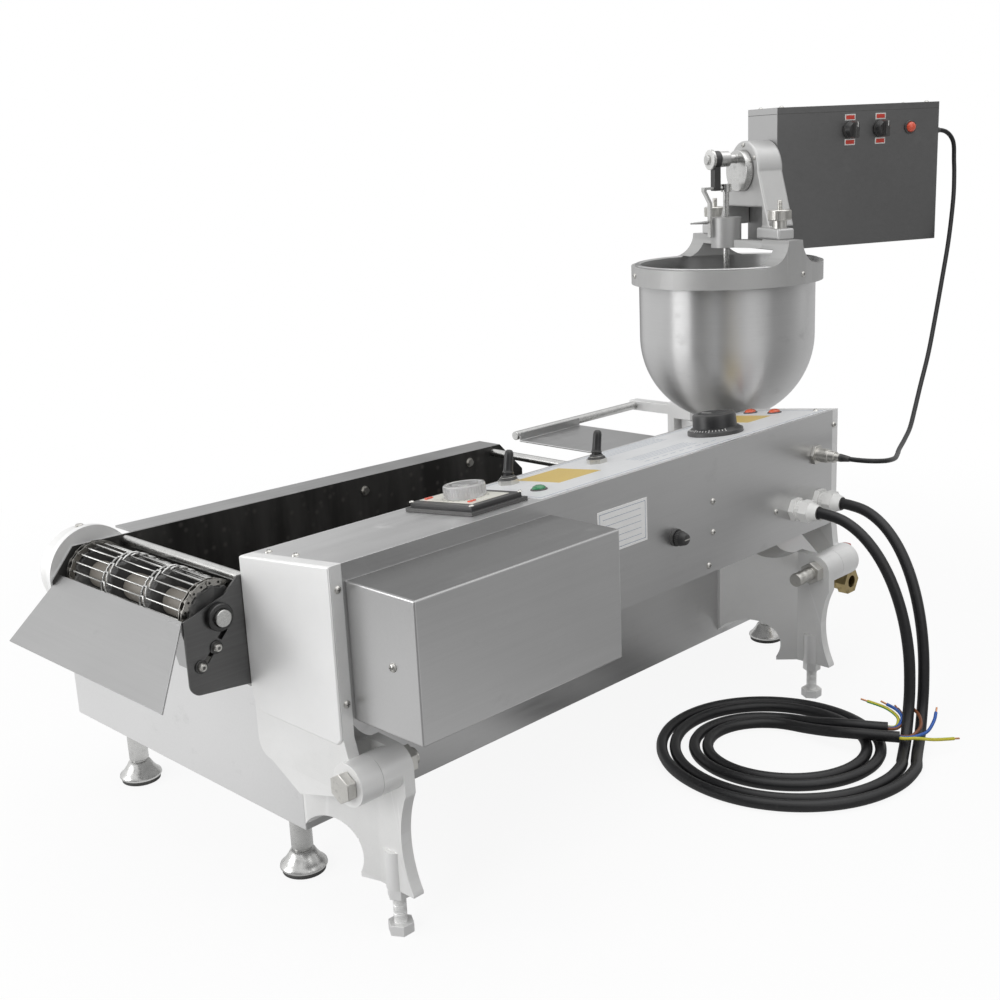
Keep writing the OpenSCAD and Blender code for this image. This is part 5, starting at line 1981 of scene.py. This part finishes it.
@dataclass
class NearFittings:
    """Fuse holder, cord glands and the lead's round connector on the near face."""

    fuse: Pair = (468, 273)
    fuse_cap: Profile = (
        (0, 17), (4.8, 17), (5.8, 16.4), (6.6, 15), (7.9, 10.6), (8, 9.8), (8, 4.4),
        (9.6, 4.2), (9.8, 3.4), (9.8, 0), (0, 0),
    )
    fuse_rib: Corners = ((7.4, -0.45, 5), (8.4, 0.45, 9.6))
    fuse_ribs: int = 24
    fuse_slot: Corners = ((-4.4, -0.6, 16.6), (4.4, 0.6, 17.15))
    gland_tooth: Corners = ((10.3, -0.8, 7.4), (11.5, 0.8, 12.6))
    gland_teeth: int = 20
    gland_seal: Profile = ((6.7, 33), (8, 33), (8.1, 34.6), (7.2, 35.2), (6.7, 34.8), (6.7, 33))
    socket_rib: Corners = ((7.7, -0.45, 8), (8.5, 0.45, 17))
    socket_ribs: int = 28
    socket_boot: Profile = (
        (3.1, 33.6), (4.9, 33.6), (4.9, 36), (4.4, 39), (3.5, 46), (3.15, 47), (3.1, 33.6)
    )

    def build(self) -> None:
        """Makes the fittings."""
        spot = near_frame(*self.fuse)
        cap = Form(spot).lathe(self.fuse_cap, 40)
        cap.piece("fuse_holder_cap", BLACK_PLASTIC, "head", nodes=["fuse_holder"], slot="black_plastic")
        ribs = Form(spot).ring(self.fuse_ribs, *self.fuse_rib)
        ribs.piece("fuse_holder_ribs", BLACK_PLASTIC, "head", edge=0.2)
        Form(spot).box(*self.fuse_slot).piece("fuse_holder_slot", ZINC, "head")
        dress("glands", WHITE_PLASTIC, 1.0, 2)
        seals, teeth = Form(WORLD), Form(WORLD)
        for place in GLANDS:
            seals.lathe(self.gland_seal, 32, near_frame(*place))
            teeth.ring(self.gland_teeth, *self.gland_tooth, near_frame(*place))
        seals.piece("gland_seals", BOOT_RUBBER, "head")
        teeth.piece("gland_teeth", WHITE_PLASTIC, "head", edge=0.25)
        dress("lead_socket", ZINC, 0.6, 2)
        spot = near_frame(*SOCKET)
        knurl = Form(spot).ring(self.socket_ribs, *self.socket_rib)
        knurl.piece("socket_knurl", ZINC, "head", edge=0.15)
        Form(spot).lathe(self.socket_boot, 28).piece("socket_boot", BOOT_RUBBER, "head")


# Outfeed


@dataclass
class Outfeed:
    """Side plates, chute, bearings, wire belt and its shafts."""

    kit: Fasteners
    coats: tuple[Coat, ...] = (
        (FAR_SHEET, 0.8, 2, "far_wall"),
        (NEAR_SHEET, 0.8, 2, "near_wall"),
        (SHEET_SIDE, 0.8, 2, "chute"),
        (SHEET, 0.8, 2, "rear_tray"),
        (STEEL, 0.5, 2, "cross_tubes"),
        (BLACK_STEEL, 1.0, 2, "bearing_near"),
        (STEEL, 0.6, 2, "drive_shaft tail_shaft"),
        (SPROCKET_BLACK, 0.5, 2, "drive_sprockets"),
    )
    drive: Pair = (-30, 296)
    tail: Pair = (180, 160)
    belt_r: float = 30.0
    wire_d: float = 2.2
    wire_gap: float = 0.2
    pitch: float = 9.0
    y0: float = 137.3
    y1: float = 348.7
    hook: float = 7.0
    chain_inset: float = 4.2
    link_r: float = 3.1
    link_t: float = 1.0
    pin: Profile = ((0, -4), (1.2, -4), (1.2, 4), (0, 4))
    roller: Profile = ((0, -1.3), (2.3, -1.3), (2.3, 1.3), (0, 1.3))
    sleeves: tuple[Pair, ...] = ((147.6, 202.5), (213.1, 272.9), (283.6, 338.4))
    sleeve_r: Point = (12.02, 13, 13.6)
    wall_bolts: tuple[Point, ...] = ((326, 353, 304), (500, 353, 304))
    wall_bolt_r: float = 4.6
    cheek_y: float = 131.0
    cheek_screws: tuple[Pair, ...] = ((-35.3, 268.3), (-52.8, 254.6))
    cheek_washer: Profile = ((0, 0), (6.4, 0), (6.4, 1), (6, 1.4), (0, 1.4))
    cheek_head: Profile = ((0, 1.2), (4.2, 1.2), (4.2, 3), (3.4, 4.6), (2.2, 5.2), (0, 5.2))
    cheek_socket: Point = (3, 5, 5.3)
    housing_y: float = 355.0
    housing: Profile = (
        (8.05, 0), (47, 0), (47, 7.4), (46, 8.6), (44, 9.4), (43, 10.4), (43, 27),
        (41, 29.6), (38, 30), (24, 30), (22, 28.6), (14, 28.4), (8.05, 28.4),
        (8.05, 0),
    )
    grease_y: float = 373.0
    grease_up: float = 41.5
    grease_screw: Profile = ((0, 0), (4, 0), (4, 4), (3.4, 4.5), (0, 4.5))
    housing_bolt_y: float = 385.0
    housing_bolt_ring: float = 33.0
    housing_bolt_r: float = 3.4

    def __post_init__(self) -> None:
        """Works out the belt's line."""
        dx, dz = self.tail[0] - self.drive[0], self.drive[1] - self.tail[1]
        self.run = hypot(dx, dz)
        self.along = Vector((dx / self.run, -dz / self.run))
        self.across = Vector((dz / self.run, dx / self.run))
        self.arc = pi * self.belt_r
        self.loop = 2 * self.run + 2 * self.arc
        self.wires = int(self.loop // self.pitch)
        self.step = self.loop / self.wires

    def on_loop(self, s: float, lift: float) -> Vector:
        """A point of X and Z on the belt's line, lifted outwards.

        Args:
            s: Distance along the loop.
            lift: Distance outwards.

        Returns:
            The point's X and Z.
        """
        d = s % self.loop
        radius = self.belt_r + lift
        u, n = self.along, self.across
        front, rear = Vector(self.drive), Vector(self.tail)
        if d < self.run:
            return front + u * d + n * radius
        if d < self.run + self.arc:
            angle = (d - self.run) / self.belt_r
            return rear + radius * (n * cos(angle) + u * sin(angle))
        if d < 2 * self.run + self.arc:
            return rear - u * (d - self.run - self.arc) - n * radius
        angle = (d - 2 * self.run - self.arc) / self.belt_r
        return front - radius * (n * cos(angle) + u * sin(angle))

    def spot(self, s: float, y: float, lift: float) -> Point:
        """A point of the belt."""
        p = self.on_loop(s, lift)
        return (p.x, y, p.y)

    def wire_path(self, i: int) -> list[Point]:
        """One wire: straight between the edge chains, hooked over the next wire at two lanes.

        Args:
            i: Number of the wire.

        Returns:
            The wire's points.
        """
        lift = self.wire_d + self.wire_gap
        half = self.hook / 2
        s = i * self.step
        hook = ((0.0, half, 0.0), (0.5, half, 0.6), (1.1, half - 1.0, 1.0))
        lap = [(ahead, -side, up) for ahead, side, up in hook] + list(hook[::-1])
        path: list[Point] = [self.spot(s, self.y0 + 1.0, 0.0)]
        for k in (1, 2):
            y = self.y0 + k * (self.y1 - self.y0) / 3
            path += [self.spot(s + self.step * ahead, y + side, lift * up) for ahead, side, up in lap]
        return path + [self.spot(s, self.y1 - 1.0, 0.0)]

    def link_frame(self, s: float, y: float) -> Matrix:
        """Frame of a chain link: Z out of the loop, X along it.

        Args:
            s: Distance along the loop.
            y: Place across the belt.

        Returns:
            The frame.
        """
        ahead = self.on_loop(s + 0.5, 0.0) - self.on_loop(s - 0.5, 0.0)
        x = Vector((ahead.x, 0.0, ahead.y)).normalized()
        across = Vector(FARWARD)
        turn = Matrix((x, across, x.cross(across))).transposed().to_4x4()
        return standing(self.spot(s, y, 0.0)) @ turn

    def chains(self) -> None:
        """Edge chains: wide and narrow links in turn, each with a roller."""
        half, r = self.step / 2, self.link_r
        ends = [(m, radians(a)) for m in (1, -1) for a in range(-75, 76, 30)]
        outline = [(m * (half + r * cos(a)), r * sin(a) * m) for m, a in ends]
        on_side = Matrix.Rotation(pi / 2, 4, "X")
        lanes = (self.y0 + self.chain_inset, self.y1 - self.chain_inset)
        for name, gap, first in (("wide", 2.6, 0), ("narrow", 1.4, 1)):
            link = Form(WORLD)
            for bottom in (gap, -gap - self.link_t):
                link.prism(outline, bottom, bottom + self.link_t, on_side)
            for m in (-1, 1):
                link.lathe(self.pin, 10, Matrix.Translation((m * half, 0, 0)) @ on_side)
            link.lathe(self.roller, 12, Matrix.Translation((half, 0, 0)) @ on_side)
            values = {"Part": template("chain_" + name, link), "Size": 1.0}
            places = [(i + 0.5) * self.step for i in range(first, self.wires, 2)]
            carrier = points_mesh([self.link_frame(s, y) for y in lanes for s in places])
            self.kit.scatter.run("chain_links_" + name, carrier, values, CHAIN_STEEL, "head")

    def build(self) -> None:
        """Dresses the outfeed."""
        dress_all(self.coats)
        bore, end, outer = self.sleeve_r
        sleeves = Form(facing(MACHINE, (self.drive[0], 0.0, self.drive[1]), FARWARD))
        for low, high in self.sleeves:
            chamfer = outer - end
            wall = [(end, low), (outer, low + chamfer), (outer, high - chamfer), (end, high)]
            sleeves.lathe([(bore, low), *wall, (bore, high), (bore, low)], 40)
        sleeves.piece("drive_sleeves", SPACER_TAN, "drive")
        carrier = lines_mesh([self.wire_path(i) for i in range(self.wires)])
        size = {"Radius": self.wire_d / 2 * MM, "Sides": 8}
        wire = self.kit.wire
        wire.run("belt_wires", carrier, size, WIRE_STEEL, "head", nodes=["wire_belt"], angle=60.0)
        self.chains()
        self.far_bearing()
        bolts = [facing(MACHINE, place, NEARWARD) for place in self.wall_bolts]
        self.kit.hexes("far_wall_bolts", bolts, self.wall_bolt_r, "head")
        self.cheek()

    def cheek(self) -> None:
        """Socket screws with washers in the near side plate's slots."""
        washers, heads, sockets = Form(WORLD), Form(WORLD), Form(WORLD)
        for x, z in self.cheek_screws:
            spot = facing(MACHINE, (x, self.cheek_y, z), NEARWARD)
            washers.lathe(self.cheek_washer, 32, spot)
            heads.lathe(self.cheek_head, 32, spot)
            # Painted shade: a dark hexagon on each head stands in for its socket.
            sockets.hexagon(*self.cheek_socket, spot)
        washers.piece("cheek_washers", BLACK_STEEL, "head")
        heads.piece("cheek_screws", ZINC, "head")
        sockets.piece("cheek_sockets", SLOT_DARK, "head")

    def far_bearing(self) -> None:
        """Round bearing housing: stepped casting, grease screw and face bolts."""
        x, z = self.drive
        shell = Form(facing(MACHINE, (x, self.housing_y, z), FARWARD)).lathe(self.housing, 72)
        shell.piece("bearing_far_housing", CAST_BRIGHT, "head", nodes=["bearing_far"])
        screw = Form(facing(MACHINE, (x, self.grease_y, z + self.grease_up), UPWARD))
        screw.lathe(self.grease_screw, 24).piece("bearing_far_screw", ZINC, "head")
        angles, r = [radians(v) for v in (45, 135, 225, 315)], self.housing_bolt_ring
        places = [(x + r * cos(a), self.housing_bolt_y, z + r * sin(a)) for a in angles]
        bolts = [facing(MACHINE, place, FARWARD) for place in places]
        self.kit.hexes("bearing_far_bolts", bolts, self.housing_bolt_r, "head")


# Hopper


@dataclass
class Hopper:
    """Bowl, cast ring with its yoke, gear housing, motor box and the depositing gear.

    Places are in the hopper's own axes, which are turned by YAW about the bowl.
    """

    kit: Fasteners
    coats: tuple[Coat, ...] = (
        (CAST, 2.0, 2, "hopper_arm"),
        (CAST_RING, 2.2, 3, "ring_yoke"),
        (CAST_GEAR, 2.6, 3, "gear_housing"),
        (BOX_SHEET, 1.5, 3, "motor_box"),
        (STEEL, 0.9, 2, "crank"),
        (BLACK_STEEL, 1.0, 2, "link"),
        (STEEL, 0.4, 2, "strip_lever"),
        (STEEL, 0.6, 2, "plunger"),
    )
    bowl_z: float = 530.0
    bowl_r: float = 117.0
    bowl_wall: float = 2.0
    centre_z: float = 433.0
    bowl_steps: int = 24
    rim_form: Profile = (
        (0, -1), (1, 0), (4.4, 0), (5, 1), (4.4, 2), (-0.6, 2), (-2, 0.6)
    )
    mouth_r: Pair = (24, 28)
    nozzle: Profile = (
        (24, 262), (27.4, 262), (28, 262.8), (28, 292.3), (35.6, 292.3), (36, 293),
        (36, 305.6), (35.4, 306.3), (28, 306.3),
    )
    ring_r: float = 126.8
    ring_screw_z: float = 519.0
    ring_screws: tuple[Pair, ...] = ((-0.089, -0.996), (-0.817, 0.577), (0.82, 0.57))
    ring_screw_r: float = 3.6
    thumb: Point = (30, 84, 576)
    thumb_knob: Profile = (
        (0, 0), (9, 0), (9, 9.4), (8.4, 10), (14, 10), (14.6, 10.8), (14.6, 22.2),
        (13.8, 23), (0, 23),
    )
    thumb_stud: Profile = ((0, 22), (3, 22), (3, 34.4), (2.4, 35), (0, 35))
    thumb_rib: Corners = ((14.2, -0.55, 11.2), (15, 0.55, 21.8))
    thumb_ribs: int = 44
    stud_thread_z: float = 24.0
    stud_thread: Point = (2.9, 10, 1)
    seams: tuple[tuple[Pair, Pair], ...] = (
        ((64.2, -23.25), (316.8, -22.9)), ((62.75, -22.0), (63.1, 50.0)), ((64.2, 50.9), (316.8, 51.25))
    )
    seam_z: Pair = (717.4, 718)
    lid_z: float = 726.0
    lid_screws: tuple[Pair, ...] = ((76, -12), (76, 40), (305, -12), (305, 40))
    lid_screw_r: float = 3.2
    face_t: float = -23.0
    dial_z: float = 694.0
    selectors: tuple[tuple[float, str, str], ...] = (
        (175.0, "selector_left", "selector_a"), (223.0, "selector_right", "selector_b")
    )
    selector_skirt: Profile = (
        (0, -8), (3, -8), (3, 0.3), (10.6, 0.3), (11, 0.8), (11, 4.8), (10.4, 5.6),
        (8.4, 10.6), (7.8, 11.2), (0, 11.3),
    )
    selector_bar: Profile = (
        (-3, -10), (-2.2, -11), (2.2, -11), (3, -10), (2.4, 9), (0, 11.4), (-2.4, 9)
    )
    bar_z: Pair = (5.2, 18.3)
    bar_line: Corners = ((-0.5, 3, 18.2), (0.5, 9.6, 18.45))
    plate_out: float = 16.0
    plate: Corners = ((-8, -4, 0), (8, 4, 0.4))
    plate_mark: Corners = ((-6.6, -2.6, 0.3), (6.6, 2.6, 0.6))
    lamp_s: float = 271.0
    lens: Profile = ((0, 7.2), (3.2, 6.9), (5.4, 5.8), (6.6, 4.2), (6.8, 1), (0, 1))
    rim: Profile = ((6.9, 0), (9, 0), (9, 1.7), (8.2, 2.4), (6.9, 2.2), (6.9, 0))
    lead_exit: Point = (318, -10, 688)
    lead_boot: Profile = (
        (3.1, 0), (7, 0), (7, 1.6), (5.4, 2.4), (4.8, 6), (3.5, 11), (3.1, 11.4), (3.1, 0)
    )
    crank_pin: Point = (-24, 0, 664)
    crank_thread: Point = (5.9, 5.6, 1.5)
    crank_washer: Profile = ((6, 0), (13, 0), (13, 1), (12.6, 1.4), (6, 1.4), (6, 0))
    gear: Point = (25.6, 0, 648)
    gear_ring: float = 32.5
    gear_screw_r: float = 2.8

    def build(self) -> None:
        """Dresses the hopper."""
        dress_all(self.coats)
        self.bowl()
        self.thumb_nuts()
        self.motor_box()
        self.linkage()
        frames = []
        for a, b in self.ring_screws:
            place = (HOP_X + self.ring_r * a, HOP_Y + self.ring_r * b, self.ring_screw_z)
            frames.append(facing(MACHINE, place, (a, b, 0)))
        self.kit.screws("ring_screws", frames, self.ring_screw_r, "hopper")

    def bowl_arc(self, radius: float, mouth: float) -> list[Pair]:
        """The round of the bowl from its mouth up to its straight wall.

        Args:
            radius: Radius of the round.
            mouth: Radius of the mouth.

        Returns:
            Radius and height of its points.
        """
        start = asin(mouth / radius)
        angles = [start + (pi / 2 - start) * k / self.bowl_steps for k in range(self.bowl_steps + 1)]
        return [(radius * sin(a), self.centre_z - radius * cos(a)) for a in angles]

    def bowl(self) -> None:
        """Spun bowl with a rolled rim, a drawn nozzle and a flange."""
        inner, outer = self.mouth_r
        outside = self.bowl_arc(self.bowl_r, outer)
        inside = self.bowl_arc(self.bowl_r - self.bowl_wall, inner)[::-1]
        rim = [(self.bowl_r + out, self.bowl_z + up) for out, up in self.rim_form]
        bowl = Form(HOPPER).lathe([*self.nozzle, *outside, *rim, *inside, self.nozzle[0]], 128)
        bowl.piece("bowl_spun", BOWL_SHEET, "hopper", nodes=["bowl"], slot="sheet_steel")

    def thumb_nuts(self) -> None:
        """Knurled thumb nuts on studs."""
        s, t, z = self.thumb
        shapes, knurl = Form(HOPPER), Form(HOPPER)
        studs = []
        for m in (-1, 1):
            spot = Matrix.Translation((s, m * t, z))
            shapes.lathe(self.thumb_knob, 48, spot).lathe(self.thumb_stud, 24, spot)
            knurl.ring(self.thumb_ribs, *self.thumb_rib, spot)
            studs.append(standing((0, 0, self.stud_thread_z), HOPPER @ spot))
        shapes.piece("thumb_nuts_turned", ZINC, "hopper", nodes=["thumb_nuts"])
        knurl.piece("thumb_nuts_knurl", ZINC, "hopper", edge=0.2)
        self.kit.threads("thumb_studs_thread", studs, self.stud_thread, ZINC, "hopper")

    def motor_box(self) -> None:
        """The motor box's lid seam and screws, selectors, red lamp and the lead's boot."""
        low, high = self.seam_z
        seam = Form(HOPPER)
        for first, last in self.seams:
            seam.box((*first, low), (*last, high))
        seam.piece("motor_box_seam", SLOT_DARK, "hopper")
        lid = [facing(HOPPER, (s, t, self.lid_z), UPWARD) for s, t in self.lid_screws]
        self.kit.screws("motor_box_screws", lid, self.lid_screw_r, "hopper")
        for selector in self.selectors:
            self.selector(*selector)
        spot = facing(HOPPER, (self.lamp_s, self.face_t, self.dial_z), NEARWARD)
        lens = Form(spot).lathe(self.lens, 36)
        lens.piece("box_lamp_lens", RED_LENS, "hopper", nodes=["box_lamp"], slot="red_lens")
        Form(spot).lathe(self.rim, 36).piece("box_lamp_rim", BLACK_PLASTIC, "hopper")
        boot = Form(facing(HOPPER, self.lead_exit, REARWARD)).lathe(self.lead_boot, 28)
        boot.piece("lead_grommet", BOOT_RUBBER, "hopper")

    def selector(self, s: float, node: str, body: str) -> None:
        """A selector with its pointer line, between two plain plates.

        Args:
            s: Its place along the box.
            node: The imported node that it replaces.
            body: The body that it rides on.
        """
        spot = facing(HOPPER, (s, self.face_t, self.dial_z), NEARWARD)
        skirt = Form(spot).lathe(self.selector_skirt, 48)
        skirt.piece(node + "_skirt", BLACK_PLASTIC, body, nodes=[node], slot="black_plastic")
        grip = Form(spot).prism(self.selector_bar, *self.bar_z)
        grip.piece(node + "_grip", BLACK_PLASTIC, body, edge=0.8)
        Form(spot).box(*self.bar_line).piece(node + "_line", TICK_WHITE, body)
        plates, marks = Form(spot), Form(spot)
        for y in (-self.plate_out, self.plate_out):
            side = Matrix.Translation((0.0, y, 0.0))
            plates.box(*self.plate, side)
            marks.box(*self.plate_mark, side)
        plates.piece(node + "_plates", TICK_WHITE, "hopper")
        marks.piece(node + "_marks", TICK_RED, "hopper")

    def linkage(self) -> None:
        """Crank pin's washer and thread, and the housing's rim screws."""
        pin = facing(HOPPER, self.crank_pin, FORWARD)
        Form(pin).lathe(self.crank_washer, 36).piece("crank_washer", WHITE_PLASTIC, "crank")
        self.kit.threads("crank_pin_thread", [pin], self.crank_thread, STEEL, "crank")
        s, t, z = self.gear
        angles, r = [radians(v) for v in (30, 90, 150)], self.gear_ring
        rim = [facing(HOPPER, (s, t + r * cos(a), z + r * sin(a)), FORWARD) for a in angles]
        self.kit.screws("gear_housing_screws", rim, self.gear_screw_r, "hopper")


def main() -> None:
    """Builds the studio and every sub-assembly."""
    logging.basicConfig(level=logging.WARNING, format="%(name)s: %(message)s")
    kit = Fasteners()
    Studio().build()
    Cords().build()
    dressed = (Base(kit), Head(kit), ControlPanel(kit), NearFittings(), Outfeed(kit), Hopper(kit))
    for assembly in dressed:
        assembly.build()
        LOG.info("%s done", type(assembly).__name__)


if __name__ == "__main__":
    main()
